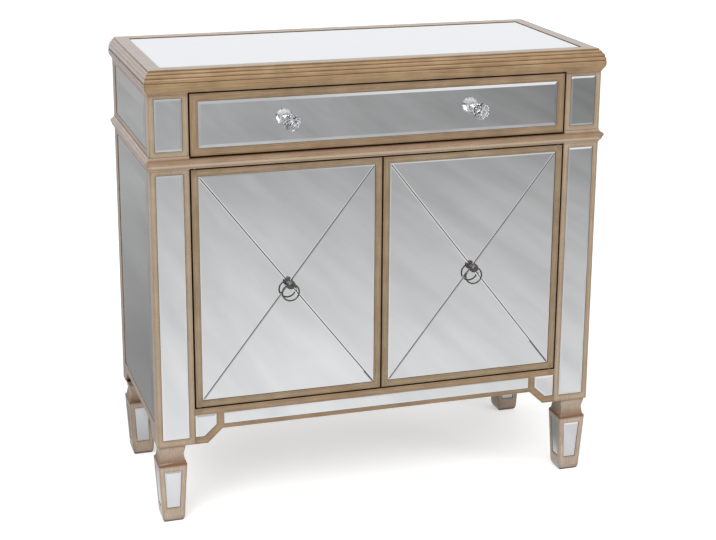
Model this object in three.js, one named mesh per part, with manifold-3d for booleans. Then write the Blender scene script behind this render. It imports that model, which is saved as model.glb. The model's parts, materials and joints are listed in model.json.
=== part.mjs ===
// A mirrored chiffonier: one drawer over two doors, mirror panels in a champagne painted frame.
// Millimetres, +Z up. The front faces -Y, and the origin is on the floor under the middle of the whole.

import * as THREE from 'three';
import { mergeVertices } from 'three/addons/utils/BufferGeometryUtils.js';
import Module from 'manifold-3d';

const wasm = await Module();
wasm.setup();

// Whole cabinet
const bodyWidth = 884;
const bodyDepth = 387;
const overallHeight = 879;
const legHeight = 158.5;

// Fits between pieces
const seatGap = 0.3;
const frontGap = 3;
const runningGap = 0.4;
const overrun = 5;

// Top with its reeded and coved edge
const topHeight = 45;
const topOverhang = 7;
const topArrisInset = 4.5;
const topFillet = 1.5;
const topRim = 30;
const topBoard = 20;
const topEdgeWidth = 25;
const topTrim = 3.5;
const reedZone = 21.5;
const reedDepth = 1.3;
const reedCount = 3;
const reedSteps = 4;
const reedBowShares = [0.93, 0.33];
const coveSteps = 8;
const coveShares = [[1.2, 0.6], [0.14, 0.68]];

// Waist moulding, its profile from the top tip down as shares of the overhang and of the height
const waistHeight = 25.5;
const waistOverhang = 8;
const waistRise = 5;
const waistProfileShares = [
  [0.1, 0], [0.16, 0.08], [0.35, 0.17], [0.66, 0.215], [0.74, 0.24],
  [0.92, 0.29], [1, 0.38], [0.94, 0.47], [0.78, 0.525],
  [0.62, 0.55], [0.72, 0.6], [0.66, 0.68], [0.5, 0.77], [0.32, 0.84],
  [0.18, 0.87], [0.14, 0.93], [0.1, 1],
];

// Carcass boards
const postWidth = 73;
const postDepth = 22;
const sideThickness = 18;
const backThickness = 6;
const bottomThickness = 18;
const dividerThickness = 19;
const shelfThickness = 16;
const shelfSetback = 52;
const shelfHeightShare = 0.5;

// Front apron and the like shape of the side's lower edge
const apronHeight = 71;
const archHeight = 27;
const bracketWidth = 24;
const bracketSlope = 29;
const apronStrip = 13;
const apronGlassHeight = 22.5;
const cornerGlassWidth = 41;
const cornerGlassHeight = 44.5;
const cornerGlassMargin = 1;
const cornerGlassGap = 14;
const cornerChamferWidth = 24;
const cornerChamferHeight = 22;

// Mirror plates: how thick, how far below the frame's face, and how wide each polished bevel is
const glassThickness = 4;
const glassDrop = 0.5;
const topGlassDrop = 1;
const bevelDrop = 0.8;
const topBevel = 2;
const postBevel = 6;
const apronBevel = 4;
const sideBevel = 25;
const drawerBevel = 10;
const paneBevel = 4.5;

// Painted strips round the mirrors of the posts and sides
const postGlassMargin = 11;
const upperStripTop = 6.5;
const upperStripBottom = 9.5;
const lowerStripTop = 8.5;
const lowerStripBottom = 13.5;
const sideFrontStrip = 28;
const sideBackStrip = 28;
const sideLowerStripBottom = 14.5;

// Feet: a tapered block under a square neck, with a mirror recess in each of its four faces
const footBlockHeight = 120.5;
const footTop = 55;
const footAnkle = 43.5;
const footSole = 34;
const ankleHeight = 12;
const ankleRoundShares = [0.62, 0.35];
const footInset = 1.5;
const neckTop = 52;
const neckBottom = 44;
const footFrame = 10.3;
const footRecessFoot = 30;
const footRecessTop = 14;
const footRecessDepth = 2.5;

// Drawer
const frontThickness = 18;
const drawerFrontHeight = 115.5;
const drawerFrameWidth = 14.5;
const drawerSideInset = 5;
const drawerBoardThickness = 12;
const drawerBoxHeight = 84;
const drawerBoxLength = 320;
const drawerBottomThickness = 5;
const drawerBottomLift = 6;
const guideWidth = 20;
const guideHeight = 25;
const guideLength = 300;

// Doors, their pivots and the catch
const doorFrameWidth = 13;
const pivotInset = 7;
const pivotDepth = 5;
const pinRadius = 2;
const pinInDoor = 12;
const pinInFrame = 10;
const collarRadius = 4;
const catchWidth = 40;
const catchDepth = 14;
const catchHeight = 12;

// Crystal knobs of the drawer
const studRadius = 2;
const studHeadRadius = 4.5;
const studHeadHeight = 3;
const knobFlangeRadius = 9;
const knobFlangeHeight = 2.5;
const knobStemRadius = 5;
const knobStemHeight = 15;
const knobCupRadius = 8.5;
const knobCupHeight = 3;
const crystalRadius = 16;
const crystalSeatRadius = 8;
const crystalSides = 10;
const crystalRowAngles = [58, 90, 118, 146, 164];

// Ring pulls of the doors
const bossRadius = 8.8;
const bossStand = 12;
const bossFootRadius = 5.5;
const bossFootHeight = 1.5;
const bossNeckRadius = 3.6;
const ringRadius = 16.3;
const ringWire = 1.5;
const ringClearance = 0.35;
const roundSides = 16;
const ringSteps = 32;
const ringSides = 8;
const ballSteps = 8;

// Places worked out from the sizes
const knobReach = knobStemHeight + seatGap - glassDrop
  + Math.sqrt(crystalRadius ** 2 - crystalSeatRadius ** 2) + crystalRadius;
const bodyHalf = bodyWidth / 2;
const frontY = (knobReach - bodyDepth) / 2;
const backY = frontY + bodyDepth;
const behindPosts = frontY + postDepth + seatGap;
const beforeBack = backY - backThickness - seatGap;
const topBottom = overallHeight - topHeight;
const drawerTop = topBottom + topTrim - frontGap;
const drawerBottom = drawerTop - drawerFrontHeight;
const dividerTop = drawerBottom - frontGap;
const dividerBottom = dividerTop - dividerThickness;
const waistTop = dividerTop + waistRise;
const waistBottom = waistTop - waistHeight;
const doorTop = dividerBottom - frontGap;
const apronTop = legHeight + apronHeight;
const doorBottom = apronTop + frontGap;
const archZ = legHeight + archHeight;
const openingHalf = bodyHalf - postWidth;
const sideInner = bodyHalf - sideThickness;
const frontHalf = openingHalf - frontGap;
const doorInner = frontGap / 2;
const doorCentreX = (doorInner + frontHalf) / 2;
const doorCentreZ = (doorTop + doorBottom) / 2;
const drawerCentreZ = (drawerTop + drawerBottom) / 2;
const drawerBoxHalf = frontHalf - drawerSideInset;
const glassBed = glassDrop + glassThickness + seatGap;

// Looks
function finish(colour, roughness, metalness) {
  return () => new THREE.MeshStandardMaterial({ color: colour, roughness, metalness });
}
const champagne = finish(0xb29a78, 0.42, 0.35);
const mirror = finish(0xc9cccf, 0.05, 1);
const interior = finish(0x6e5a48, 0.7, 0);
const crystal = finish(0xf2f5f8, 0.05, 0);
const chrome = finish(0xc8cacc, 0.12, 1);
const gunmetal = finish(0x3a3937, 0.35, 0.9);
const steel = finish(0x9a9a98, 0.4, 0.9);
const plastic = finish(0x2c2b2a, 0.6, 0);

function piece(name, geometry, material) {
  const mesh = new THREE.Mesh(geometry, material());
  mesh.name = name;
  return mesh;
}

// A box from its lowest to its highest place along each axis
function block([x0, x1], [y0, y1], [z0, z1]) {
  const box = new THREE.BoxGeometry(x1 - x0, y1 - y0, z1 - z0);
  return box.translate((x0 + x1) / 2, (y0 + y1) / 2, (z0 + z1) / 2);
}

function rectangle([x0, x1], [y0, y1]) {
  return [[x0, y0], [x1, y0], [x1, y1], [x0, y1]];
}

// A closed skin over rings that have the same number of points, with the first and last ring capped
function loft(rings) {
  const count = rings[0].length;
  const points = rings.flat();
  const faces = [];
  for (let level = 0; level < rings.length - 1; level += 1) {
    for (let k = 0; k < count; k += 1) {
      const a = level * count + k;
      const b = level * count + (k + 1) % count;
      faces.push([a, b, b + count], [a, b + count, a + count]);
    }
  }
  const capFaces = (ring) => {
    const origin = ring[0];
    const across = new THREE.Vector3().subVectors(ring[1], origin).normalize();
    const normal = new THREE.Vector3();
    ring.forEach((point, k) => normal.add(new THREE.Vector3().crossVectors(point, ring[(k + 1) % count])));
    const along = new THREE.Vector3().crossVectors(normal.normalize(), across);
    const flat = ring.map((point) => {
      const arm = new THREE.Vector3().subVectors(point, origin);
      return new THREE.Vector2(arm.dot(across), arm.dot(along));
    });
    return THREE.ShapeUtils.triangulateShape(flat, []).map(([a, b, c]) => {
      const turn = new THREE.Vector2().subVectors(flat[b], flat[a])
        .cross(new THREE.Vector2().subVectors(flat[c], flat[a]));
      return turn > 0 ? [a, b, c] : [a, c, b];
    });
  };
  const last = points.length - count;
  capFaces(rings[0]).forEach(([a, b, c]) => faces.push([a, c, b]));
  capFaces(rings[rings.length - 1]).forEach(([a, b, c]) => faces.push([last + a, last + b, last + c]));
  const volume = faces.reduce((sum, [a, b, c]) => (
    sum + points[a].dot(new THREE.Vector3().crossVectors(points[b], points[c]))), 0);
  if (volume < 0) faces.forEach((face) => face.reverse());
  const geometry = new THREE.BufferGeometry().setFromPoints(points);
  geometry.setIndex(faces.flat());
  return geometry;
}

function toSolid(geometry) {
  const bare = new THREE.BufferGeometry();
  bare.setAttribute('position', geometry.getAttribute('position').clone());
  if (geometry.index) bare.setIndex(geometry.index.clone());
  const merged = mergeVertices(bare, 1e-4);
  return new wasm.Manifold(new wasm.Mesh({
    numProp: 3,
    vertProperties: new Float32Array(merged.getAttribute('position').array),
    triVerts: new Uint32Array(merged.index.array),
  }));
}

function toGeometry(solid) {
  const mesh = solid.getMesh();
  const geometry = new THREE.BufferGeometry();
  geometry.setAttribute('position', new THREE.BufferAttribute(mesh.vertProperties, 3));
  geometry.setIndex(new THREE.BufferAttribute(mesh.triVerts, 1));
  return geometry;
}

function cut(base, tools) {
  return toGeometry(tools.reduce((solid, tool) => solid.subtract(toSolid(tool)), toSolid(base)));
}

function join(base, extra) {
  return toGeometry(toSolid(base).add(toSolid(extra)));
}

// A convex outline with every edge moved inwards by the same distance
function inset(outline, distance) {
  const area = outline.reduce((sum, [x, y], k) => {
    const [nx, ny] = outline[(k + 1) % outline.length];
    return sum + x * ny - nx * y;
  }, 0);
  const lines = outline.map(([x, y], k) => {
    const [nx, ny] = outline[(k + 1) % outline.length];
    const length = Math.hypot(nx - x, ny - y) * Math.sign(area);
    const normal = [(y - ny) / length, (nx - x) / length];
    return [...normal, normal[0] * x + normal[1] * y + distance];
  });
  return lines.map(([a, b, c], k) => {
    const [pa, pb, pc] = lines[(k + lines.length - 1) % lines.length];
    const det = pa * b - a * pb;
    return [(pc * b - c * pb) / det, (pa * c - a * pc) / det];
  });
}

// A mirror plate lying on its back, with a polished bevel along every edge of its face
function plate(outline, bevel) {
  const level = (points, height) => points.map(([x, y]) => new THREE.Vector3(x, y, height));
  return loft([
    level(outline, 0),
    level(outline, glassThickness - bevelDrop),
    level(inset(outline, bevel), glassThickness),
  ]);
}

// Stands a plate up on the front, its face glassDrop behind the frame's face
function onFront(mesh) {
  mesh.rotation.x = Math.PI / 2;
  mesh.position.y = frontY + glassDrop + glassThickness;
  return mesh;
}

function frontBed([x0, x1], [z0, z1]) {
  return block(
    [x0 - seatGap, x1 + seatGap],
    [frontY - overrun, frontY + glassBed],
    [z0 - seatGap, z1 + seatGap],
  );
}

// Round bars and turned shapes, lathed about Z from [radius, height] pairs
function turned(profile, sides = roundSides) {
  const points = profile.map(([radius, height]) => new THREE.Vector2(radius, height));
  return new THREE.LatheGeometry(points, sides).rotateX(Math.PI / 2);
}

function bore(radius, from, to) {
  return turned([[0, from], [radius, from], [radius, to], [0, to]]);
}

const cabinet = new THREE.Group();
const drawer = new THREE.Group();
cabinet.add(drawer);

// Top: a board with a deep edge, reeded above and coved below, and a bed for the inset mirror
function topEdgeProfile() {
  const start = new THREE.Vector2(-topArrisInset, -topFillet);
  const widest = new THREE.Vector2(topOverhang, -topFillet - reedZone);
  const bow = new THREE.Vector2(
    start.x + (widest.x - start.x) * reedBowShares[0],
    start.y + (widest.y - start.y) * reedBowShares[1],
  );
  const guide = new THREE.QuadraticBezierCurve(start, bow, widest);
  const profile = [new THREE.Vector2(-topArrisInset, 0), start];
  const steps = reedCount * reedSteps;
  for (let k = 0; k <= steps; k += 1) {
    const tangent = guide.getTangent(k / steps);
    const swell = Math.abs(Math.sin(Math.PI * k / reedSteps)) - 1;
    const outward = new THREE.Vector2(-tangent.y, tangent.x).multiplyScalar(swell * reedDepth);
    if (k > 0) profile.push(guide.getPoint(k / steps).add(outward));
  }
  const coveHeight = topHeight - topFillet - reedZone;
  const [upper, lower] = coveShares.map(([out, down]) => (
    new THREE.Vector2(topOverhang * out, widest.y - coveHeight * down)));
  const cove = new THREE.CubicBezierCurve(widest, upper, lower, new THREE.Vector2(0, -topHeight));
  return [...profile, ...cove.getPoints(coveSteps)];
}

function topRing(out, z) {
  const half = bodyHalf + out;
  return rectangle([-half, half], [frontY - out, backY]).map(([x, y]) => new THREE.Vector3(x, y, z));
}

function mirrorRing(grow, z) {
  const half = bodyHalf - topRim + grow;
  const depth = [frontY + topRim - grow, backY - topRim + grow];
  return rectangle([-half, half], depth).map(([x, y]) => new THREE.Vector3(x, y, z));
}

function topFrame() {
  const bedZ = overallHeight - topGlassDrop - glassThickness - seatGap;
  const edge = topEdgeProfile().map((point) => topRing(point.x, overallHeight + point.y));
  const body = loft([mirrorRing(seatGap, bedZ), mirrorRing(seatGap, overallHeight), ...edge]);
  const hollowHalf = bodyHalf - topEdgeWidth;
  const hollow = block(
    [-hollowHalf, hollowHalf],
    [frontY + topEdgeWidth, backY - topEdgeWidth],
    [topBottom - overrun, overallHeight - topBoard],
  );
  const trim = block(
    [-openingHalf, openingHalf],
    [frontY - topOverhang - overrun, frontY + topEdgeWidth + overrun],
    [topBottom - overrun, topBottom + topTrim],
  );
  return cut(body, [hollow, trim]);
}
cabinet.add(piece('top_frame', topFrame(), champagne));

const topGlassHalf = bodyHalf - topRim;
const topGlassDepth = [frontY + topRim, backY - topRim];
const topGlass = plate(rectangle([-topGlassHalf, topGlassHalf], topGlassDepth), topBevel);
const topMirror = piece('top_mirror', topGlass, mirror);
topMirror.position.z = overallHeight - topGlassDrop - glassThickness;
cabinet.add(topMirror);

// Heights of the upper and lower mirrors of the posts and sides
const upperGlass = [waistTop + upperStripBottom, topBottom - upperStripTop];
const lowerGlass = [legHeight + lowerStripBottom, waistBottom - lowerStripTop];

function mirrored([low, high], side) {
  return side > 0 ? [low, high] : [-high, -low];
}

// Front posts, each with two mirrors let into its face
for (const [label, side] of [['left', -1], ['right', 1]]) {
  const across = mirrored([openingHalf, bodyHalf], side);
  const glassAcross = mirrored([openingHalf + postGlassMargin, bodyHalf - postGlassMargin], side);
  const bar = block(across, [frontY, frontY + postDepth], [legHeight, topBottom - seatGap]);
  const beds = [upperGlass, lowerGlass].map((height) => frontBed(glassAcross, height));
  cabinet.add(piece(`front_post_${label}`, cut(bar, beds), champagne));
  const upper = plate(rectangle(glassAcross, upperGlass), postBevel);
  const lower = plate(rectangle(glassAcross, lowerGlass), postBevel);
  cabinet.add(onFront(piece(`post_mirror_upper_${label}`, upper, mirror)));
  cabinet.add(onFront(piece(`post_mirror_lower_${label}`, lower, mirror)));
}

// The lower edge of the apron and of the sides: straight, dropping to a bracket at each end
function archedEdge(low, high) {
  return [
    [low, legHeight],
    [low + bracketWidth, legHeight],
    [low + bracketWidth + bracketSlope, archZ],
    [high - bracketWidth - bracketSlope, archZ],
    [high - bracketWidth, legHeight],
    [high, legHeight],
  ];
}

// A board cut to an outline of [across, height], standing in the XZ plane from y back to y + thickness
function standingBoard(outline, y, thickness) {
  const shape = new THREE.Shape(outline.map(([x, z]) => new THREE.Vector2(x, z)));
  const board = new THREE.ExtrudeGeometry(shape, { depth: thickness, bevelEnabled: false });
  return board.rotateX(Math.PI / 2).translate(0, y + thickness, 0);
}

// Side panels, each with an upper and a lower mirror that has a wide bevel along its edges
const sideGlassDepth = [frontY + sideFrontStrip, backY - sideBackStrip];
const sideLowerGlass = [archZ + sideLowerStripBottom, waistBottom - lowerStripTop];
for (const [label, side] of [['left', -1], ['right', 1]]) {
  const outline = [
    ...archedEdge(behindPosts, backY),
    [backY, topBottom - seatGap],
    [behindPosts, topBottom - seatGap],
  ];
  const across = mirrored([sideInner, bodyHalf], side);
  const board = standingBoard(outline, 0, sideThickness)
    .rotateZ(Math.PI / 2)
    .translate(across[1], 0, 0);
  const bedAcross = mirrored([bodyHalf - glassBed, bodyHalf + overrun], side);
  const beds = [upperGlass, sideLowerGlass].map(([low, high]) => block(
    bedAcross,
    [sideGlassDepth[0] - seatGap, sideGlassDepth[1] + seatGap],
    [low - seatGap, high + seatGap],
  ));
  cabinet.add(piece(`side_panel_${label}`, cut(board, beds), champagne));
  const turn = new THREE.Group();
  turn.rotation.z = side * Math.PI / 2;
  for (const [place, height] of [['upper', upperGlass], ['lower', sideLowerGlass]]) {
    const glass = plate(rectangle(mirrored(sideGlassDepth, side), height), sideBevel);
    const pane = piece(`side_mirror_${place}_${label}`, glass, mirror);
    pane.rotation.x = Math.PI / 2;
    pane.position.y = -(bodyHalf - glassDrop - glassThickness);
    turn.add(pane);
  }
  cabinet.add(turn);
}

// Waist moulding: one profile round the front and both sides, mitred at the front corners
const waistProfile = [
  [seatGap, waistTop],
  ...waistProfileShares.map(([out, down]) => [waistOverhang * out, waistTop - waistHeight * down]),
  [seatGap, waistBottom],
];
const waistFront = loft([-1, 1].map((side) => waistProfile.map(([out, z]) => (
  new THREE.Vector3(side * (bodyHalf + out - seatGap), frontY - out, z)))));
const waistTrimHeights = [[dividerTop, waistTop + overrun], [waistBottom - overrun, dividerBottom]];
const waistTrims = waistTrimHeights.map((height) => (
  block([-openingHalf, openingHalf], [frontY - waistOverhang - overrun, frontY + overrun], height)));
cabinet.add(piece('waist_moulding_front', cut(waistFront, waistTrims), champagne));
for (const [label, side] of [['left', -1], ['right', 1]]) {
  const ends = [
    waistProfile.map(([out, z]) => (
      new THREE.Vector3(side * (bodyHalf + out), frontY - out + seatGap, z))),
    waistProfile.map(([out, z]) => new THREE.Vector3(side * (bodyHalf + out), backY, z)),
  ];
  cabinet.add(piece(`waist_moulding_${label}`, loft(ends), champagne));
}

// Divider: the rail between drawer and doors in one with the board that the drawer runs on
const railHalf = openingHalf - seatGap;
const boardHalf = sideInner - seatGap;
const pivotX = frontHalf - pivotInset;
const pivotY = frontY + pivotDepth;
const pinHole = pinRadius + runningGap;
const pinSeat = pinRadius + seatGap;
const rail = block([-railHalf, railHalf], [frontY, behindPosts + overrun], [dividerBottom, dividerTop]);
const deck = block([-boardHalf, boardHalf], [behindPosts, beforeBack], [dividerBottom, dividerTop]);
const upperPinBores = [-1, 1].map((side) => (
  bore(pinSeat, dividerBottom - overrun, dividerBottom + pinInFrame + seatGap)
    .translate(side * pivotX, pivotY, 0)));
cabinet.add(piece('divider_board', cut(join(rail, deck), upperPinBores), champagne));

// Cupboard floor, shelf and back
const boardAcross = [-boardHalf, boardHalf];
const bottom = block(boardAcross, [behindPosts, beforeBack], [apronTop - bottomThickness, apronTop]);
cabinet.add(piece('bottom_board', bottom, interior));
const shelfZ = apronTop + (dividerBottom - apronTop) * shelfHeightShare;
const shelf = block(boardAcross, [frontY + shelfSetback, beforeBack], [shelfZ, shelfZ + shelfThickness]);
cabinet.add(piece('shelf', shelf, interior));
const back = block(boardAcross, [backY - backThickness, backY], [archZ, topBottom - seatGap]);
cabinet.add(piece('back_panel', back, interior));

// Front apron with a long mirror strip and a chamfered mirror at each end
const apronGlassTop = apronTop - apronStrip;
const cornerOuter = openingHalf - cornerGlassMargin;
const cornerInner = cornerOuter - cornerGlassWidth;
const stripHalf = cornerInner - cornerGlassGap;
const cornerFoot = apronGlassTop - cornerGlassHeight;
const stripHeight = [apronGlassTop - apronGlassHeight, apronGlassTop];
const cornerOutline = (side, grow) => [
  [cornerOuter + grow, cornerFoot - grow],
  [cornerOuter + grow, apronGlassTop + grow],
  [cornerInner - grow, apronGlassTop + grow],
  [cornerInner - grow, cornerFoot + cornerChamferHeight - grow],
  [cornerInner + cornerChamferWidth - grow, cornerFoot - grow],
].map(([x, z]) => [side * x, z]);

const apronBoard = standingBoard([
  ...archedEdge(-railHalf, railHalf),
  [railHalf, apronTop],
  [-railHalf, apronTop],
], frontY, postDepth);
const cornerBeds = [-1, 1].map((side) => (
  standingBoard(cornerOutline(side, seatGap), frontY - overrun, overrun + glassBed)));
const lowerPinBores = [-1, 1].map((side) => (
  bore(pinSeat, apronTop - pinInFrame - seatGap, apronTop + overrun)
    .translate(side * pivotX, pivotY, 0)));
const apronCuts = [frontBed([-stripHalf, stripHalf], stripHeight), ...cornerBeds, ...lowerPinBores];
cabinet.add(piece('front_apron', cut(apronBoard, apronCuts), champagne));
const strip = plate(rectangle([-stripHalf, stripHalf], stripHeight), apronBevel);
cabinet.add(onFront(piece('apron_mirror_centre', strip, mirror)));
for (const [label, side] of [['left', -1], ['right', 1]]) {
  const corner = plate(cornerOutline(side, 0), apronBevel);
  cabinet.add(onFront(piece(`apron_mirror_${label}`, corner, mirror)));
}

// Feet, all alike: sole, rounded ankle, tapered block, then the neck that meets the body
function square(size, z) {
  const half = size / 2;
  return rectangle([-half, half], [-half, half]).map(([x, y]) => new THREE.Vector3(x, y, z));
}

function footWidth(z) {
  return footAnkle + (footTop - footAnkle) * (z - ankleHeight) / (footBlockHeight - ankleHeight);
}

function footRecess(quarter) {
  const heights = [footRecessFoot, footBlockHeight - footRecessTop];
  const face = (depth) => heights.flatMap((z, level) => {
    const reach = footWidth(z) / 2 + depth;
    const half = footWidth(z) / 2 - footFrame;
    return (level === 0 ? [-half, half] : [half, -half]).map((x) => new THREE.Vector3(x, -reach, z));
  });
  return loft([face(overrun), face(-footRecessDepth)]).rotateZ(quarter * Math.PI / 2);
}

function foot() {
  const [spread, rise] = ankleRoundShares;
  const round = [footSole + (footAnkle - footSole) * spread, ankleHeight * rise];
  const body = loft([
    square(footSole, 0),
    square(...round),
    square(footAnkle, ankleHeight),
    square(footTop, footBlockHeight),
    square(neckBottom, footBlockHeight),
    square(neckTop, legHeight - seatGap),
  ]);
  return cut(body, [0, 1, 2, 3].map(footRecess));
}

const footCentre = footInset + footTop / 2;
const footX = bodyHalf - footCentre;
const footPlaces = [['front', frontY + footCentre], ['back', backY - footCentre]];
for (const [place, y] of footPlaces) {
  for (const [label, side] of [['left', -1], ['right', 1]]) {
    const leg = piece(`foot_${place}_${label}`, foot(), champagne);
    leg.position.set(side * footX, y, 0);
    cabinet.add(leg);
  }
}

// Studs and turned mounts point out of the front: a lathe about Z, laid down towards -Y
function outwards(mesh, x, y, z) {
  mesh.rotation.x = Math.PI / 2;
  mesh.position.set(x, y, z);
  return mesh;
}
const glassFace = frontY + glassDrop;
const studHole = studRadius + seatGap;
const frontBack = frontThickness - glassDrop;
function studBore(x, z) {
  return bore(studHole, -frontThickness - overrun, overrun)
    .rotateX(Math.PI / 2)
    .translate(x, frontY, z);
}

// Drawer: mirrored front, box and floor
const drawerGlass = [
  [drawerFrameWidth - frontHalf, frontHalf - drawerFrameWidth],
  [drawerBottom + drawerFrameWidth, drawerTop - drawerFrameWidth],
];
const frontDepth = [frontY, frontY + frontThickness];
const frontBoard = block([-frontHalf, frontHalf], frontDepth, [drawerBottom, drawerTop]);
const knobBores = [-1, 1].map((side) => studBore(side * doorCentreX, drawerCentreZ));
drawer.add(piece('drawer_front', cut(frontBoard, [frontBed(...drawerGlass), ...knobBores]), champagne));
const drawerPane = plate(rectangle(...drawerGlass), drawerBevel);
const paneBores = [-1, 1].map((side) => (
  bore(studHole, -overrun, glassThickness + overrun).translate(side * doorCentreX, drawerCentreZ, 0)));
drawer.add(onFront(piece('drawer_mirror', cut(drawerPane, paneBores), mirror)));

const boxFront = frontY + frontThickness + seatGap;
const boxFoot = dividerTop + seatGap;
const boxInner = drawerBoxHalf - drawerBoardThickness;
const floorHalf = boxInner - seatGap;
const boxEnd = boxFront + drawerBoxLength;
for (const [label, side] of [['left', -1], ['right', 1]]) {
  const sideAcross = mirrored([boxInner, drawerBoxHalf], side);
  const board = block(sideAcross, [boxFront, boxEnd], [boxFoot, boxFoot + drawerBoxHeight]);
  drawer.add(piece(`drawer_side_${label}`, board, interior));
  const guideInner = drawerBoxHalf + runningGap;
  const guideAcross = mirrored([guideInner, guideInner + guideWidth], side);
  const guideDepth = [behindPosts, behindPosts + guideLength];
  const guide = block(guideAcross, guideDepth, [boxFoot, boxFoot + guideHeight]);
  cabinet.add(piece(`drawer_guide_${label}`, guide, interior));
}
const endBoard = block(
  [-floorHalf, floorHalf],
  [boxEnd - drawerBoardThickness, boxEnd],
  [boxFoot, boxFoot + drawerBoxHeight],
);
drawer.add(piece('drawer_back', endBoard, interior));
const floorBoard = block(
  [-floorHalf, floorHalf],
  [boxFront, boxEnd - drawerBoardThickness - seatGap],
  [boxFoot + drawerBottomLift, boxFoot + drawerBottomLift + drawerBottomThickness],
);
drawer.add(piece('drawer_bottom', floorBoard, interior));

// Crystal knobs on turned chrome bases, each held by a stud through the front
const crystalSeatReach = Math.sqrt(crystalRadius ** 2 - crystalSeatRadius ** 2);
function crystalBall() {
  const rows = crystalRowAngles.map((angle) => {
    const radians = THREE.MathUtils.degToRad(angle);
    return [crystalRadius * Math.sin(radians), -crystalRadius * Math.cos(radians)];
  });
  const seat = [[0, -crystalSeatReach], [crystalSeatRadius, -crystalSeatReach]];
  return turned([...seat, ...rows, [0, crystalRadius]], crystalSides);
}
const knobBase = turned([
  [0, -frontBack - seatGap - studHeadHeight],
  [studHeadRadius, -frontBack - seatGap - studHeadHeight],
  [studHeadRadius, -frontBack - seatGap],
  [studRadius, -frontBack - seatGap],
  [studRadius, seatGap],
  [knobFlangeRadius, seatGap],
  [knobFlangeRadius, knobFlangeHeight],
  [knobStemRadius, knobFlangeHeight + knobCupHeight],
  [knobStemRadius, knobStemHeight - knobCupHeight],
  [knobCupRadius, knobStemHeight],
  [0, knobStemHeight],
]);
for (const [label, side] of [['left', -1], ['right', 1]]) {
  const base = piece(`knob_base_${label}`, knobBase.clone(), chrome);
  drawer.add(outwards(base, side * doorCentreX, glassFace, drawerCentreZ));
  const ball = piece(`crystal_knob_${label}`, crystalBall(), crystal);
  const ballCentre = glassFace - knobStemHeight - seatGap - crystalSeatReach;
  drawer.add(outwards(ball, side * doorCentreX, ballCentre, drawerCentreZ));
}

// Doors: a framed board with four triangular mirrors that meet in a cross
const doorAcross = [doorInner, frontHalf];
const paneAcross = [doorInner + doorFrameWidth, frontHalf - doorFrameWidth];
const paneHeight = [doorBottom + doorFrameWidth, doorTop - doorFrameWidth];
const pinLength = pinInDoor - runningGap;
function pivotPin() {
  return turned([
    [0, -pinInFrame],
    [pinRadius, -pinInFrame],
    [pinRadius, seatGap],
    [collarRadius, seatGap],
    [collarRadius, frontGap - seatGap],
    [pinRadius, frontGap - seatGap],
    [pinRadius, frontGap + pinLength],
    [0, frontGap + pinLength],
  ]);
}

// Ring pull: the wire runs through a bore across the ball, wide enough for the wire's own curve
const boreGuess = ringWire + ringClearance;
const boreHalfLength = Math.sqrt(bossRadius ** 2 - boreGuess ** 2);
const wireSag = ringRadius - Math.sqrt(ringRadius ** 2 - boreHalfLength ** 2);
const crossBore = (ringWire + wireSag / 2 + ringClearance) / Math.cos(Math.PI / roundSides);
const ringDrop = ringRadius - wireSag / 2;

function pullBoss() {
  const startAngle = Math.asin(bossNeckRadius / bossRadius);
  const ball = Array.from({ length: ballSteps + 1 }, (unused, k) => {
    const angle = startAngle + (Math.PI - startAngle) * k / ballSteps;
    return [bossRadius * Math.sin(angle), bossStand - bossRadius * Math.cos(angle)];
  });
  ball[ballSteps][0] = 0;
  const body = turned([
    [0, -frontBack - seatGap - studHeadHeight],
    [studHeadRadius, -frontBack - seatGap - studHeadHeight],
    [studHeadRadius, -frontBack - seatGap],
    [studRadius, -frontBack - seatGap],
    [studRadius, seatGap],
    [bossFootRadius, seatGap],
    [bossFootRadius, seatGap + bossFootHeight],
    [bossNeckRadius, seatGap + bossFootHeight],
    ...ball,
  ]);
  const across = bore(crossBore, -bossRadius - overrun, bossRadius + overrun)
    .rotateY(Math.PI / 2)
    .translate(0, 0, bossStand);
  return cut(body, [across]);
}

for (const [label, side] of [['left', -1], ['right', 1]]) {
  const door = new THREE.Group();
  cabinet.add(door);
  const centreX = side * doorCentreX;
  const board = block(mirrored(doorAcross, side), frontDepth, [doorBottom, doorTop]);
  const pinBores = [
    bore(pinHole, doorTop - pinInDoor, doorTop + overrun),
    bore(pinHole, doorBottom - overrun, doorBottom + pinInDoor),
  ].map((hole) => hole.translate(side * pivotX, pivotY, 0));
  const glassAcross = mirrored(paneAcross, side);
  const cuts = [frontBed(glassAcross, paneHeight), studBore(centreX, doorCentreZ), ...pinBores];
  door.add(piece(`door_${label}`, cut(board, cuts), champagne));

  const corners = rectangle(glassAcross, paneHeight);
  const centre = [centreX, doorCentreZ];
  ['bottom', 'right', 'top', 'left'].forEach((place, k) => {
    const triangle = inset([corners[k], corners[(k + 1) % corners.length], centre], seatGap / 2);
    const pane = cut(plate(triangle, paneBevel), [
      bore(studHole, -overrun, glassThickness + overrun).translate(...centre, 0),
    ]);
    door.add(onFront(piece(`door_pane_${place}_${label}`, pane, mirror)));
  });

  door.add(outwards(piece(`pull_boss_${label}`, pullBoss(), gunmetal), centreX, glassFace, doorCentreZ));
  const hoop = new THREE.TorusGeometry(ringRadius, ringWire, ringSides, ringSteps);
  const ring = piece(`pull_ring_${label}`, hoop, gunmetal);
  door.add(outwards(ring, centreX, glassFace - bossStand, doorCentreZ - ringDrop));

  const upperPin = piece(`pivot_pin_top_${label}`, pivotPin(), steel);
  upperPin.rotation.x = Math.PI;
  upperPin.position.set(side * pivotX, pivotY, dividerBottom);
  cabinet.add(upperPin);
  const lowerPin = piece(`pivot_pin_bottom_${label}`, pivotPin(), steel);
  lowerPin.position.set(side * pivotX, pivotY, apronTop);
  cabinet.add(lowerPin);
}

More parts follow.
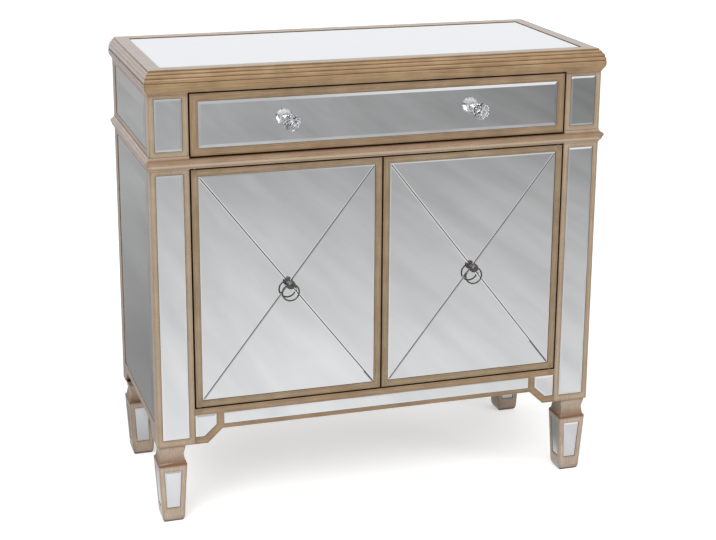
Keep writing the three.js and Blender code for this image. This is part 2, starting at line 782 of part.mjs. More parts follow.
// Magnetic catch under the divider, which both doors close against
const doorBack = frontY + frontThickness + seatGap;
const catchBlock = block(
  [-catchWidth / 2, catchWidth / 2],
  [doorBack, doorBack + catchDepth],
  [dividerBottom - seatGap - catchHeight, dividerBottom - seatGap],
);
cabinet.add(piece('door_catch', catchBlock, plastic));

export default cabinet;
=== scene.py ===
# %% [markdown]
# # A mirrored chiffonier
#
# This cupboard has one drawer over two doors. Its frames are wood, painted a champagne gold, and its panels
# are bevelled mirrors. The construction comes in as a fixed frame, and this script gives it its surface:
# finer mouldings, eased edges, polished glass, crystal knobs and ring pulls, and the finish of each.
# Everything is in metres, with Z up and the front facing -Y.

# %% Load the frame
import json
from math import asin, cos, hypot, pi, radians, sin

import bmesh
import bpy
from mathutils import Matrix, Vector


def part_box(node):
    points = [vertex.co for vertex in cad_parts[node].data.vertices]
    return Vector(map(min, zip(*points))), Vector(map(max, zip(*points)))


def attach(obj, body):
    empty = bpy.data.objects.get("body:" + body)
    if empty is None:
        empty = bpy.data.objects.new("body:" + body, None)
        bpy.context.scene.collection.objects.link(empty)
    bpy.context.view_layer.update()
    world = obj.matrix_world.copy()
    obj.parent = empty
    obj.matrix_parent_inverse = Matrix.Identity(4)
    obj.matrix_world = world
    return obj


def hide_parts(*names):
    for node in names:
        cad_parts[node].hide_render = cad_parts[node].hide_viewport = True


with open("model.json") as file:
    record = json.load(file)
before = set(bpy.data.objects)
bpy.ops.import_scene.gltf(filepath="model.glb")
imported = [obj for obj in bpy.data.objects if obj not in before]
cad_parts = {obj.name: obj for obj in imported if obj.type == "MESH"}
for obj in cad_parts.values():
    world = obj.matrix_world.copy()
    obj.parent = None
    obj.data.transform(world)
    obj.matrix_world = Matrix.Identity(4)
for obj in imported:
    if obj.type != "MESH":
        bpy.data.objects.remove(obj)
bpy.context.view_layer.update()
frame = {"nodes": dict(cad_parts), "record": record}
record = frame["record"]
body_of_node = {node: body for body, nodes in record["behaviour"]["bodies"].items() for node in nodes}
slot_of_node = {row["node"]: row["material_slot"] for row in record["subparts"]}
MM = 0.001
SIDES = {"left": -1, "right": 1}
print("nodes in the frame:", len(body_of_node))

# %% [markdown]
# ## The camera
#
# The photograph looks down at the cupboard from its left. The lens, the height and the turn were found by
# fitting a camera to the corners of the cupboard, so that near and far edges shrink alike. The image is
# taken as 716 by 540 pixels, and a small vertical shift stands for the photograph's crop.

# %% Camera
LOOKS_DOWN, LEANS, TURNS = 15.71, -0.33, -17.46


def put(name, data):
    thing = bpy.data.objects.new(name, data)
    bpy.context.collection.objects.link(thing)
    return thing


camera_data = bpy.data.cameras.new("camera")
camera = bpy.context.scene.camera = put("camera", camera_data)
camera_data.sensor_width = 36
camera_data.lens = 80.7
camera_data.shift_y = -0.0768
camera.location = (-0.9263, -2.9451, 1.4036)
camera.rotation_euler = (radians(90 - LOOKS_DOWN), radians(LEANS), radians(TURNS))
print("camera looks down by", LOOKS_DOWN, "degrees")

# %% [markdown]
# ## Floor and light
#
# Mirrors show the room, so the room has to be made with as much care as the wood. The floor is plain and
# pale, and it glows a little to the camera alone, so that it runs out into white. The world is white to the
# eye, to metal and to glass, and softer where it only fills in shadow. One wide lamp over the front left
# stands for a window. A second on the right lifts the shadows and isn't seen in the mirrors, and a very
# soft light from above evens out the rest.

# %% Node helpers
def feed(tree, node, inputs):
    """Link each of these inputs of a node from a socket, or set it to a value."""
    for name, value in inputs.items():
        if isinstance(value, bpy.types.NodeSocket):
            tree.links.new(value, node.inputs[name])
        else:
            node.inputs[name].default_value = value


def add(tree, kind, inputs=None, **settings):
    node = tree.nodes.new("ShaderNode" + kind)
    for name, value in settings.items():
        setattr(node, name, value)
    feed(tree, node, inputs or {})
    return node


def spread(tree, value, low, high, to_low=0.0, to_high=1.0):
    """A value from low to high, moved to the range from to_low to to_high and kept inside it."""
    return add(tree, "MapRange", {
        "Value": value, "From Min": low, "From Max": high, "To Min": to_low, "To Max": to_high,
    }).outputs["Result"]


def combined(tree, a, b, operation="MULTIPLY"):
    return add(tree, "Math", {0: a, 1: b}, operation=operation).outputs[0]


def new_finish(name):
    finish = bpy.data.materials.new(name)
    finish.use_nodes = True
    return finish, finish.node_tree, finish.node_tree.nodes["Principled BSDF"]


# %% Floor
bpy.context.scene.view_settings.view_transform = "Standard"
FLOOR_REACH = 40
FLOOR_GLOW = 0.42


def rectangle(low, high, z):
    """The corners of a level rectangle, in order."""
    return [(low[0], low[1], z), (high[0], low[1], z), (high[0], high[1], z), (low[0], high[1], z)]


def flat_sheet(name, low, high, z):
    mesh = bpy.data.meshes.new(name)
    mesh.from_pydata(rectangle(low, high, z), [], [(0, 1, 2, 3)])
    sheet = put(name, mesh)
    return sheet


floor = flat_sheet("floor", (-FLOOR_REACH, -FLOOR_REACH), (FLOOR_REACH, FLOOR_REACH), 0)
floor_finish, tree, floor_shader = new_finish("pale_floor")
seen = add(tree, "LightPath").outputs["Is Camera Ray"]
feed(tree, floor_shader, {
    "Base Color": (0.86, 0.86, 0.86, 1), "Roughness": 0.9, "Specular IOR Level": 0.1,
    "Emission Color": (1, 1, 1, 1), "Emission Strength": spread(tree, seen, 0, 1, 0, FLOOR_GLOW),
})
floor.data.materials.append(floor_finish)

# %% World and lamps
WORLD_COLOUR = (0.97, 0.985, 1.0, 1)
WORLD_FILL, WORLD_SEEN = 0.5, 1.0
world = bpy.data.worlds.new("studio")
bpy.context.scene.world = world
world.use_nodes = True
sky = world.node_tree
rays = add(sky, "LightPath").outputs
seen = combined(sky, rays["Is Camera Ray"], rays["Is Glossy Ray"], "MAXIMUM")
seen = combined(sky, seen, rays["Is Transmission Ray"], "MAXIMUM")
feed(sky, sky.nodes["Background"],
     {"Color": WORLD_COLOUR, "Strength": spread(sky, seen, 0, 1, WORLD_FILL, WORLD_SEEN)})


def soft_lamp(name, place, target, size, power, colour=(1, 1, 1), mirrored=True):
    data = bpy.data.lights.new(name, "AREA")
    data.shape = "RECTANGLE"
    data.size, data.size_y = size
    data.energy = power
    data.color = colour
    lamp = put(name, data)
    lamp.location = place
    lamp.rotation_euler = (Vector(target) - Vector(place)).to_track_quat("-Z", "Y").to_euler()
    lamp.visible_glossy = mirrored


MIDDLE = (0, 0, 0.5)
soft_lamp("window_lamp", (-2.4, -2.8, 2.8), MIDDLE, (2.4, 2.4), 70, (1, 0.99, 0.97))
soft_lamp("fill_lamp", (3.0, -2.6, 1.4), MIDDLE, (1.2, 1.8), 30, mirrored=False)

high_data = bpy.data.lights.new("high_light", "SUN")
high_data.angle = radians(70)
high_data.energy = 1.5
put("high_light", high_data).rotation_euler = (radians(38), radians(-12), 0)
print("lights:", [light.name for light in bpy.data.lights])

# %% [markdown]
# A mirror cupboard in a white studio shows nothing but white. A photographer lays grey card on the floor
# beyond the picture and stands another behind the camera, so that the glass reads as glass. These two cards
# do that job, but they glow with painted greys instead of being lit, so what the glass shows of them is a
# painted reflection. They take no part in the lighting, and only reflections see them. The floor card is
# painted pale near the cupboard, greyer further off and to the right as painted shade, and softly clouded
# like a painted backcloth. Under the cupboard it is painted dark as a shadow, for the mirrors on the inner
# sides of the feet.

# %% Tone helpers
def ramp(tree, factor, stops):
    """A colour ramp through (place, colour) stops."""
    node = add(tree, "ValToRGB", {"Fac": factor})
    elements = node.color_ramp.elements
    while len(elements) < len(stops):
        elements.new(0.5)
    for element, (place, colour) in zip(elements, stops):
        element.position = place
        element.color = (*colour, 1)
    return node.outputs["Color"]


def tones_along(tree, value, tones):
    """Greys given at places along an axis, joined up smoothly."""
    first, last = tones[0][0], tones[-1][0]
    stops = [((place - first) / (last - first), (level, level, level)) for place, level in tones]
    return ramp(tree, spread(tree, value, first, last), stops)


def multiplied(tree, colour, *tones):
    for tone in tones:
        colour = add(tree, "VectorMath", {0: colour, 1: tone}, operation="MULTIPLY").outputs[0]
    return colour


def on_piece(tree):
    """Where each point lies in the space of its piece, in metres."""
    return add(tree, "TexCoord").outputs["Object"]


def stretched(tree, place, scale, turn=0.0):
    """The place to look up, so that a pattern is drawn out along an axis and turned about Z."""
    return add(tree, "Mapping",
               {"Vector": place, "Rotation": (0, 0, turn), "Scale": scale}).outputs[0]


def noise(tree, place, scale, detail=3, rough=0.55):
    """Grey noise from 0 to 1, with about scale features to the metre."""
    return add(tree, "TexNoise",
               {"Vector": place, "Scale": scale, "Detail": detail, "Roughness": rough}).outputs["Fac"]


# %% Grey cards for the reflections
CARD_REACH = 9
CARD_HEIGHT = 0.002
# (place along Y, X or Z in metres, grey): the greys the cards glow with, a painted reflection with painted
# shade in it
FLOOR_TONES = [(-4.0, 0.52), (-3.4, 0.50), (-2.95, 0.55), (-2.5, 0.60), (-1.8, 0.71), (-1.2, 0.82),
               (-0.9, 0.90), (-0.4, 0.95), (0.0, 0.68), (0.3, 0.28), (0.9, 0.30), (1.4, 0.35), (2.5, 0.43)]
RIGHT_TONES = [(0.0, 1.0), (0.45, 0.90), (0.9, 0.83), (1.25, 0.80), (1.5, 0.72), (2.1, 0.52)]
WALL_TONES = [(0.0, 0.98), (0.5, 0.98), (0.65, 0.85), (2.2, 0.75), (3.2, 0.60), (5.0, 0.42)]
WALL_SIDE_TONES = [(0.8, 0.62), (1.65, 1.0)]
WALL_Y, WALL_HEIGHT = -4.25, 6.0
CLOUD_STRETCH, CLOUD_TURN, CLOUDS = (1, 0.12, 1), radians(35), 9
# Painted shadow under the cupboard, reaching this far along X and Y, with this grey at its darkest
SHADOW_REACH = (0.37, 0.25)
SHADOW_TONE = 0.42


def glowing_reflection_card(card, greys):
    """A card that only reflections see, glowing with the greys given: a painted reflection."""
    card.visible_camera = card.visible_diffuse = card.visible_shadow = False
    card_finish, tree, shader = new_finish(card.name)
    tree.nodes.remove(shader)
    place = on_piece(tree)
    spot = add(tree, "SeparateXYZ", {"Vector": place}).outputs
    glow = add(tree, "Emission", {"Color": greys(tree, place, spot)})
    feed(tree, tree.nodes["Material Output"], {"Surface": glow.outputs[0]})
    card.data.materials.append(card_finish)


# Painted reflection on the floor card: pale near the cupboard, painted shade further off and to the right,
# soft clouds, and a painted shadow under the cupboard
def floor_card_painted_reflection(tree, place, spot):
    clouds = noise(tree, stretched(tree, place, CLOUD_STRETCH, CLOUD_TURN), CLOUDS, 3, 0.5)
    under = stretched(tree, place, (1 / SHADOW_REACH[0], 1 / SHADOW_REACH[1], 0))
    outward = add(tree, "VectorMath", {0: under}, operation="LENGTH").outputs["Value"]
    return multiplied(tree, tones_along(tree, spot["Y"], FLOOR_TONES),
                      tones_along(tree, spot["X"], RIGHT_TONES), spread(tree, clouds, 0.3, 0.7, 0.91, 1.07),
                      spread(tree, outward, 0.9, 1.05, SHADOW_TONE, 1.0))


def wall_card_painted_reflection(tree, place, spot):
    return multiplied(tree, tones_along(tree, spot["Y"], WALL_TONES),
                      tones_along(tree, spot["X"], WALL_SIDE_TONES))


floor_card = flat_sheet("floor_card", (-CARD_REACH, -CARD_REACH), (CARD_REACH, CARD_REACH), CARD_HEIGHT)
glowing_reflection_card(floor_card, floor_card_painted_reflection)
# The wall card is made lying down, so its own Y becomes the height when it is stood up
wall_card = flat_sheet("wall_card", (-CARD_REACH, 0), (CARD_REACH, WALL_HEIGHT), 0)
wall_card.rotation_euler = (radians(90), 0, 0)
wall_card.location = (0, WALL_Y, 0)
glowing_reflection_card(wall_card, wall_card_painted_reflection)
print("floor card", 2 * CARD_REACH, "m square, wall card", WALL_HEIGHT, "m high")

# %% [markdown]
# ## The painted finish
#
# The wood is sprayed a champagne gold with a little metal in it, rubbed with a brown glaze that stays in
# the hollows, and waxed. It could be one flat gold, but the real one is three layers, so the nodes
# are too: a base with fine brush lines along the wood and soft clouds over it, a dark glaze where the
# ambient occlusion finds a groove or a gap, which is partly painted shade, and a paler rub where the
# surface turns over an edge, which is partly wear and partly a painted highlight. A clear coat
# gives the pale sheen that shows when a face is seen almost edge on.

# %% Colours of the paint
# Glaze and painted shade in the hollows and gaps
GLAZE_AND_SHADE = (0.070, 0.030, 0.008)
EDGE_BROWN_AND_SHADE = (0.140, 0.060, 0.018)
# Worn paint and painted highlight on the edges
GOLD_WORN_AND_HIGHLIT = (0.60, 0.49, 0.36)
WARMER = (1.12, 0.95, 0.85)
DOOR_GOLD = (0.15, 0.102, 0.052), (0.236, 0.17, 0.096), (0.322, 0.248, 0.156), 1.0
RAIL_GOLD = (0.155, 0.098, 0.046), (0.245, 0.163, 0.086), (0.335, 0.24, 0.142), 1.0
# For each group of parts: which way its brush lines run, its deep, middle and pale gold, and how much
# dark glaze and painted shade stays in its creases. The sides and the side stiles are greyer, pinker
# copies of the gold with less in their creases: painted light, for how the light falls on the faces that
# look sideways.
GOLDS = {
    "posts": ("z", (0.245, 0.18, 0.112), (0.33, 0.254, 0.172), (0.412, 0.33, 0.238), 1.0),
    "door_stiles": ("z", *DOOR_GOLD),
    "door_rails": ("x", *DOOR_GOLD),
    "rails": ("x", *RAIL_GOLD),
    "drawer_stiles": ("z", *RAIL_GOLD),
    "top": ("x", (0.17, 0.098, 0.038), (0.282, 0.176, 0.076), (0.40, 0.272, 0.148), 1.0),
    "waist": ("x", (0.25, 0.166, 0.096), (0.37, 0.264, 0.166), (0.49, 0.372, 0.256), 1.0),
    "sides": ("y", (0.198, 0.132, 0.094), (0.275, 0.192, 0.146), (0.352, 0.258, 0.203), 0.1),
    "side_stiles": ("z", (0.178, 0.123, 0.093), (0.24, 0.173, 0.136), (0.305, 0.225, 0.183), 0.6),
    "feet": ("z", (0.255, 0.19, 0.137), (0.372, 0.29, 0.217), (0.488, 0.392, 0.304), 1.0),
}

# %% Finish helpers
def along_grain(tree, place, axis, share):
    """The place to look up, so that a pattern is drawn out along one axis of the piece."""
    scale = [1.0, 1.0, 1.0]
    scale["xyz".index(axis)] = share
    return stretched(tree, place, scale)


def layer(tree, share, under, over):
    """One colour laid over another where share is high."""
    under, over = ((*colour, 1) if isinstance(colour, tuple) else colour for colour in (under, over))
    mix = add(tree, "Mix", {"Factor": share, "A": under, "B": over}, data_type="RGBA")
    return next(output for output in mix.outputs if output.type == "RGBA")


def openness(tree, reach, **settings):
    """1 in the open, and less the more surface there is within reach."""
    return add(tree, "AmbientOcclusion", {"Distance": reach}, samples=8, **settings).outputs["AO"]


def marked(tree, what):
    """How strongly the corners of a piece are marked."""
    return add(tree, "Attribute", attribute_name=what).outputs["Fac"]


def bumped(tree, shader, height, strength, distance):
    bump = add(tree, "Bump", {"Height": height, "Strength": strength, "Distance": distance})
    feed(tree, shader, {"Normal": bump.outputs[0]})


# %% Champagne paint
# Features to the metre
BRUSH_LINES, CLOUDY, WARM_PATCHES, GRAIN = 620, 26, 11, 420
BRUSH_STRETCH = 0.02
# How far from an edge or out of a hollow each layer reaches
RUB_REACH, EDGE_BROWN_REACH, HOLLOW_REACH = 0.0016, 0.006, 0.008
# What makes the paint shine, where it is bare and where it lies under the glaze and painted shade
SHEENS = {"Specular IOR Level": (0.5, 0.1), "Coat Weight": (0.6, 0.0), "Sheen Weight": (0.22, 0.0)}


def champagne_paint(name, along, deep, middle, pale, crease):
    finish, tree, shader = new_finish(name)
    place = on_piece(tree)
    lines = noise(tree, along_grain(tree, place, along, BRUSH_STRETCH), BRUSH_LINES, 4, 0.65)
    clouds = noise(tree, place, CLOUDY, 4)
    streaks = combined(tree, spread(tree, lines, 0.3, 0.7), 0.65)
    tone = combined(tree, streaks, combined(tree, spread(tree, clouds, 0.3, 0.7), 0.35), "ADD")
    base = ramp(tree, tone, [(0.1, deep), (0.5, middle), (0.9, pale)])
    warm = spread(tree, noise(tree, place, WARM_PATCHES, 2), 0.45, 0.7, 0.0, 0.3)
    warmed = layer(tree, warm, base, tuple(level * tint for level, tint in zip(middle, WARMER)))
    # Convex edges, found by looking for the surface from inside the wood, are paler: wear and a painted
    # highlight
    turned_over = openness(tree, RUB_REACH, inside=True, only_local=True)
    rub = combined(tree, spread(tree, turned_over, 0.92, 0.6), spread(tree, clouds, 0.25, 0.6, 0.3, 0.85))
    worn_and_highlit = layer(tree, combined(tree, rub, marked(tree, "painted_highlight"), "MAXIMUM"), warmed, GOLD_WORN_AND_HIGHLIT)
    # A wider, weaker brown near the edges of the boards, and painted shade where corners are marked for it
    near_edge = openness(tree, EDGE_BROWN_REACH, inside=True, only_local=True)
    by_edge = combined(tree, spread(tree, near_edge, 0.97, 0.55), crease * 0.5)
    browned_and_shaded = layer(tree, combined(tree, by_edge, marked(tree, "painted_shade"), "MAXIMUM"), worn_and_highlit, EDGE_BROWN_AND_SHADE)
    # Hollows and gaps, where the glaze stays and no sheen shows: partly glaze and partly painted shade
    hollow = spread(tree, openness(tree, HOLLOW_REACH), 0.4, 0.93, 0.97, 0.0)
    glazed_and_shaded = combined(tree, hollow, combined(tree, marked(tree, "glaze_and_shade"), crease), "MAXIMUM")
    feed(tree, shader, {
        "Base Color": layer(tree, glazed_and_shaded, browned_and_shaded, GLAZE_AND_SHADE), "Metallic": 0.15,
        "Roughness": spread(tree, lines, 0.25, 0.75, 0.34, 0.5),
        "Coat Roughness": 0.3, "Sheen Roughness": 0.35,
        **{name: spread(tree, glazed_and_shaded, 0.1, 0.8, *ends) for name, ends in SHEENS.items()},
    })
    height = combined(tree, lines, combined(tree, noise(tree, place, GRAIN, 2), 0.5), "ADD")
    bumped(tree, shader, height, 0.22, 0.0003)
    return finish


paint = {group: champagne_paint("champagne_" + group, *look) for group, look in GOLDS.items()}
print("paints:", [finish.name for finish in paint.values()])

# %% [markdown]
# ## The mirrors
#
# A mirror is silver behind clear glass. It could be two layers of geometry, glass over metal, but at this
# size the eye only sees a hard reflection with a faint cool cast, so one metal surface with a clear
# coat does it. The polish varies a little, with a faint haze from wiping, and the surface has the very
# slight wave of sheet glass.

# %% Silvered glass
SILVER = (0.785, 0.79, 0.80)
SILVER_HAZED = (0.735, 0.74, 0.75)
mirror_finish, tree, shader = new_finish("silvered_glass")
place = on_piece(tree)
haze = noise(tree, place, 9, 5, 0.6)
wipes = noise(tree, stretched(tree, place, (0.25, 0.25, 1.0)), 60)
dull = combined(tree, spread(tree, haze, 0.5, 0.75), spread(tree, wipes, 0.45, 0.7))
feed(tree, shader, {
    "Base Color": layer(tree, dull, SILVER, SILVER_HAZED), "Metallic": 1.0,
    "Roughness": spread(tree, dull, 0.0, 1.0, 0.012, 0.07), "Coat Weight": 0.1, "Coat Roughness": 0.01,
})
bumped(tree, shader, noise(tree, place, 5, 1), 0.06, 0.004)
print("silver reflects", SILVER)

# %% [markdown]
# ## The small metals, the crystal and the inside
#
# The knobs are cut crystal on turned chrome, and the ring pulls are a dark gunmetal that is brighter where
# hands rub it. The boards inside don't show in the photograph, so they are the plain brown
# veneered board that such a cupboard is lined with. Each metal has its own fine scratches and its own
# worn edge, because a single flat metal looks like plastic.

# %% Metals
def edge_share(tree, radius, low, high):
    """1 on edges and near 0 on flats: how far a rounded normal leans from the true one."""
    rounded = add(tree, "Bevel", {"Radius": radius}, samples=4).outputs["Normal"]
    true = add(tree, "NewGeometry").outputs["Normal"]
    lean = add(tree, "VectorMath", {0: rounded, 1: true}, operation="DOT_PRODUCT").outputs["Value"]
    return spread(tree, lean, high, low)


def metal(name, colour, worn_colour, rough_low, rough_high):
    finish, tree, shader = new_finish(name)
    place = on_piece(tree)
    scratches = noise(tree, place, 900, 4, 0.7)
    rub = combined(tree, edge_share(tree, 0.0006, 0.8, 0.98), 0.7)
    wear = combined(tree, rub, combined(tree, noise(tree, place, 180, 2), 0.35), "ADD")
    feed(tree, shader, {
        "Base Color": layer(tree, wear, colour, worn_colour), "Metallic": 1.0,
        "Roughness": spread(tree, scratches, 0.3, 0.7, rough_low, rough_high),
    })
    bumped(tree, shader, scratches, 0.06, 0.0002)
    return finish


chrome = metal("chrome", (0.62, 0.63, 0.65), (0.85, 0.86, 0.88), 0.04, 0.12)
gunmetal = metal("gunmetal", (0.065, 0.062, 0.058), (0.34, 0.33, 0.31), 0.18, 0.36)
steel = metal("blackened_steel", (0.075, 0.073, 0.07), (0.26, 0.255, 0.25), 0.3, 0.5)
print("metals:", [finish.name for finish in (chrome, gunmetal, steel)])

# %% Crystal
CRYSTAL_CLEAR, CRYSTAL_SMEARED = (0.99, 0.99, 1.0), (0.94, 0.95, 0.97)
CRYSTAL_IOR = 1.56
crystal, tree, shader = new_finish("cut_crystal")
smear = noise(tree, on_piece(tree), 240)
feed(tree, shader, {
    "Base Color": layer(tree, spread(tree, smear, 0.3, 0.8), CRYSTAL_CLEAR, CRYSTAL_SMEARED),
    "Roughness": spread(tree, smear, 0.45, 0.8, 0.0, 0.04), "Transmission Weight": 1.0, "IOR": CRYSTAL_IOR,
})
print("crystal bends light by", CRYSTAL_IOR)

# %% Veneered board
VENEER_DARK = (0.115, 0.068, 0.038)
VENEER = (0.19, 0.122, 0.073)
VENEER_LIGHT = (0.275, 0.188, 0.12)


def veneered_board(name, along):
    finish, tree, shader = new_finish(name)
    drawn = along_grain(tree, on_piece(tree), along, 0.05)
    figure = noise(tree, drawn, 34, 6, 0.6)
    pores = noise(tree, drawn, 700, 3, 0.7)
    grain = combined(tree, combined(tree, figure, 0.75), combined(tree, pores, 0.25), "ADD")
    feed(tree, shader, {
        "Base Color": ramp(tree, grain, [(0.33, VENEER_DARK), (0.5, VENEER), (0.68, VENEER_LIGHT)]),
        "Roughness": spread(tree, pores, 0.3, 0.7, 0.5, 0.66),
    })
    bumped(tree, shader, pores, 0.2, 0.0002)
    return finish


veneer = {axis: veneered_board("brown_veneer_along_" + axis, axis) for axis in "xz"}
print("veneer runs along", list(veneer))

# %% Plastic of the catch
def moulded_plastic(name, colour, worn_colour):
    finish, tree, shader = new_finish(name)
    grit = noise(tree, on_piece(tree), 1800, 2)
    rub = combined(tree, edge_share(tree, 0.0008, 0.85, 0.98), 0.6)
    feed(tree, shader, {"Base Color": layer(tree, rub, colour, worn_colour),
                        "Roughness": spread(tree, grit, 0.3, 0.7, 0.45, 0.62)})
    bumped(tree, shader, grit, 0.15, 0.0001)
    return finish


black_plastic = moulded_plastic("black_plastic", (0.022, 0.022, 0.023), (0.07, 0.07, 0.072))
print("finishes made:", len(bpy.data.materials))

# %% [markdown]
# ## Eased edges
#
# A joiner sands every edge before painting, so no painted edge is knife sharp. The boards come out of the
# construction with sharp corners. A bevel shader could fake the rounding, but the outline would
# stay hard, so each painted piece gets a new mesh: the node's own faces, joined up, with its long outer
# edges cut back by about a millimetre in two steps. Small edges, such as those of a pin hole, stay sharp.

# %% Making a piece
# Points this near are one, and so are faces whose angles differ by less than this many degrees
SAME_POINT, SAME_PLANE = 1e-6, 0.3
# Outer edges and hollows that turn by more degrees than this show as hard lines
SHARP_ANGLE, SHARP_HOLLOW = 50, 35


def solid_of(node):
    """The node's mesh with its facets joined into whole faces."""
    shape = bmesh.new()
    shape.from_mesh(frame["nodes"][node].data)
    bmesh.ops.remove_doubles(shape, verts=shape.verts, dist=SAME_POINT)
    bmesh.ops.dissolve_limit(shape, angle_limit=radians(SAME_PLANE), verts=shape.verts, edges=shape.edges)
    bmesh.ops.connect_verts_concave(shape, faces=shape.faces)
    return shape


def shade(shape, sharp=SHARP_ANGLE):
    """Smooth faces, with a hard line wherever the surface turns by more than sharp degrees."""
    for face in shape.faces:
        face.smooth = True
    for edge in shape.edges:
        limit = sharp if edge.is_convex else min(sharp, SHARP_HOLLOW)
        edge.smooth = edge.calc_face_angle(0) < radians(limit)


def place_piece(name, shape, finish, body, sharp=SHARP_ANGLE, stands_for=()):
    """A finished mesh becomes a piece that rides on a body and may stand for nodes of the frame."""
    shade(shape, sharp)
    mesh = bpy.data.meshes.new(name)
    shape.to_mesh(mesh)
    shape.free()
    mesh.materials.append(finish)
    piece = put(name, mesh)
    piece.modifiers.new("even_shading", "WEIGHTED_NORMAL").keep_sharp = True
    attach(piece, body)
    if stands_for:
        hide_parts(*stands_for)
    return piece


def stand_in(node, name, shape, finish, sharp=SHARP_ANGLE):
    return place_piece(name, shape, finish, body_of_node[node], sharp, [node])


# %% Painted boards
EASE, EASE_STEPS = 0.0009, 2
# Outer edges that turn by more degrees than this, and are longer than this, are eased
EASED_ANGLE, EASED_LENGTH = 35, 0.009
SAME_SPOT = 0.00002


def ease(shape, width):
    edges = [edge for edge in shape.edges if len(edge.link_faces) == 2 and edge.is_convex
             and edge.calc_face_angle(0) > radians(EASED_ANGLE) and edge.calc_length() > EASED_LENGTH]
    bmesh.ops.bevel(shape, geom=edges, offset=width, segments=EASE_STEPS, profile=0.5, affect="EDGES",
                    clamp_overlap=True)


def eased(node, finish):
    shape = solid_of(node)
    ease(shape, EASE)
    return stand_in(node, node + "_eased", shape, finish)


def cut_through(shape, spot, facing, near=0.0):
    """Cut the faces that a plane crosses. Corners nearer to it than near count as on it."""
    bmesh.ops.bisect_plane(shape, geom=shape.verts[:] + shape.edges[:] + shape.faces[:],
                           plane_co=spot, plane_no=facing, dist=near)


def framed(node, across, rails, stiles, inner=1):
    """An eased frame whose brush lines turn at its mitres: rails run along the axis across, stiles upright.
    Its inner side is one board, painted as the rails (0) or as the stiles (1)."""
    piece = eased(node, rails)
    piece.data.materials.append(stiles)
    low, high = (Vector(corner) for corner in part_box(node))
    shape = bmesh.new()
    shape.from_mesh(piece.data)
    for end in (low, high):
        for foot in (low, high):
            lean = Vector((0, 0, 1 if (end is low) == (foot is low) else -1))
            lean[across] = -1
            corner = Vector((0, 0, foot.z))
            corner[across] = end[across]
            cut_through(shape, corner, lean, SAME_SPOT)
    for face in shape.faces:
        spot = face.calc_center_median()
        to_side = min(spot[across] - low[across], high[across] - spot[across])
        faces_in = face.normal[1 - across] * low[1 - across] < 0
        face.material_index = inner if faces_in else int(to_side < min(spot.z - low.z, high.z - spot.z))
    shade(shape)
    shape.to_mesh(piece.data)
    shape.free()


for side in SIDES:
    eased(f"front_post_{side}", paint["posts"])
    # The side panels take the side golds: painted light
    framed(f"side_panel_{side}", 1, paint["sides"], paint["side_stiles"])
    framed(f"door_{side}", 0, paint["door_rails"], paint["door_stiles"])
framed("drawer_front", 0, paint["rails"], paint["drawer_stiles"], inner=0)
eased("front_apron", paint["rails"])
eased("divider_board", paint["rails"])
print("painted boards eased by", EASE / MM, "mm")

# %% [markdown]
# ## The mouldings
#
# The top has a reeded edge over a cove, run along the front and both sides and mitred at the front corners.
# On the bench it is cut with a shaped cutter along a straight board, so here too it is one section swept
# along the edge. A curve object with a bevel shape would do the same, but rings of points keep the
# mitres exact. The construction has the same section in coarse steps, and this one has three times as many.

# %% Sweep and carving helpers
def skin(rings, shape=None, hoop=False):
    """Walls between neighbouring rings of points, and a face over each end. In a hoop the ends join."""
    shape = shape or bmesh.new()
    loops = [[shape.verts.new(point) for point in ring] for ring in rings]
    for here, there in zip(loops, loops[1:] + loops[:int(hoop)]):
        for k, vert in enumerate(here):
            beyond = (k + 1) % len(here)
            shape.faces.new((vert, here[beyond], there[beyond], there[k]))
    if not hoop:
        shape.faces.new(loops[0][::-1])
        shape.faces.new(loops[-1])
    bmesh.ops.recalc_face_normals(shape, faces=shape.faces)
    return shape


def block(low, high):
    return skin([rectangle(low, high, z) for z in (low[2], high[2])])


def carve(shape, cutters):
    """Cut other solids out of a solid with an exact Boolean."""
    solids = (shape, *cutters)
    work = [put("work", bpy.data.meshes.new("work")) for _ in solids]
    for thing, solid in zip(work, solids):
        solid.to_mesh(thing.data)
        solid.free()
    for cutter in work[1:]:
        knife = work[0].modifiers.new("knife", "BOOLEAN")
        knife.object = cutter
        knife.solver = "EXACT"
    ready = work[0].evaluated_get(bpy.context.evaluated_depsgraph_get())
    carved = bmesh.new()
    carved.from_mesh(ready.to_mesh())
    ready.to_mesh_clear()
    for thing in work:
        mesh = thing.data
        bpy.data.objects.remove(thing)
        bpy.data.meshes.remove(mesh)
    return carved


# %% The section of the top's edge
TOP_Z, TOP_BOTTOM = 0.879, 0.834
# As (out, up) from the corner: the arris, the ends and the bow of the curve under the reeds, and the cove
ARRIS = [(-0.0055, 0), (-0.0048, -0.0003), (-0.0045, -0.0010)]
REED_START, WIDEST, BOW = (-0.0045, -0.0015), (0.007, -0.023), (0.93, 0.33)
COVE = [WIDEST, (0.0084, -0.0362), (0.00098, -0.03796), (0, TOP_BOTTOM - TOP_Z)]
REEDS, REED_STEPS, REED_DEPTH, COVE_STEPS = 3, 12, 0.0013, 20
# How far before and after a point of the curve its heading is taken
NUDGE = 0.001


def bent(points, t):
    """The point at t on the Bezier curve with these control points."""
    points = [Vector(point) for point in points]
    while len(points) > 1:
        points = [a.lerp(b, t) for a, b in zip(points, points[1:])]
    return points[0]


def edge_section():
    """(out, up) from the arris down: an eased arris, three reeds, a round and a cove."""
    curve = [REED_START, [a + share * (b - a) for a, b, share in zip(REED_START, WIDEST, BOW)], WIDEST]
    points = [*ARRIS, REED_START]
    for k in range(1, REEDS * REED_STEPS + 1):
        t = k / (REEDS * REED_STEPS)
        heading = (bent(curve, t + NUDGE) - bent(curve, t - NUDGE)).normalized()
        lift = (abs(sin(pi * k / REED_STEPS)) - 1) * REED_DEPTH
        points.append(bent(curve, t) + Vector((-heading.y, heading.x)) * lift)
    return points + [bent(COVE, k / COVE_STEPS) for k in range(COVE_STEPS + 1)]


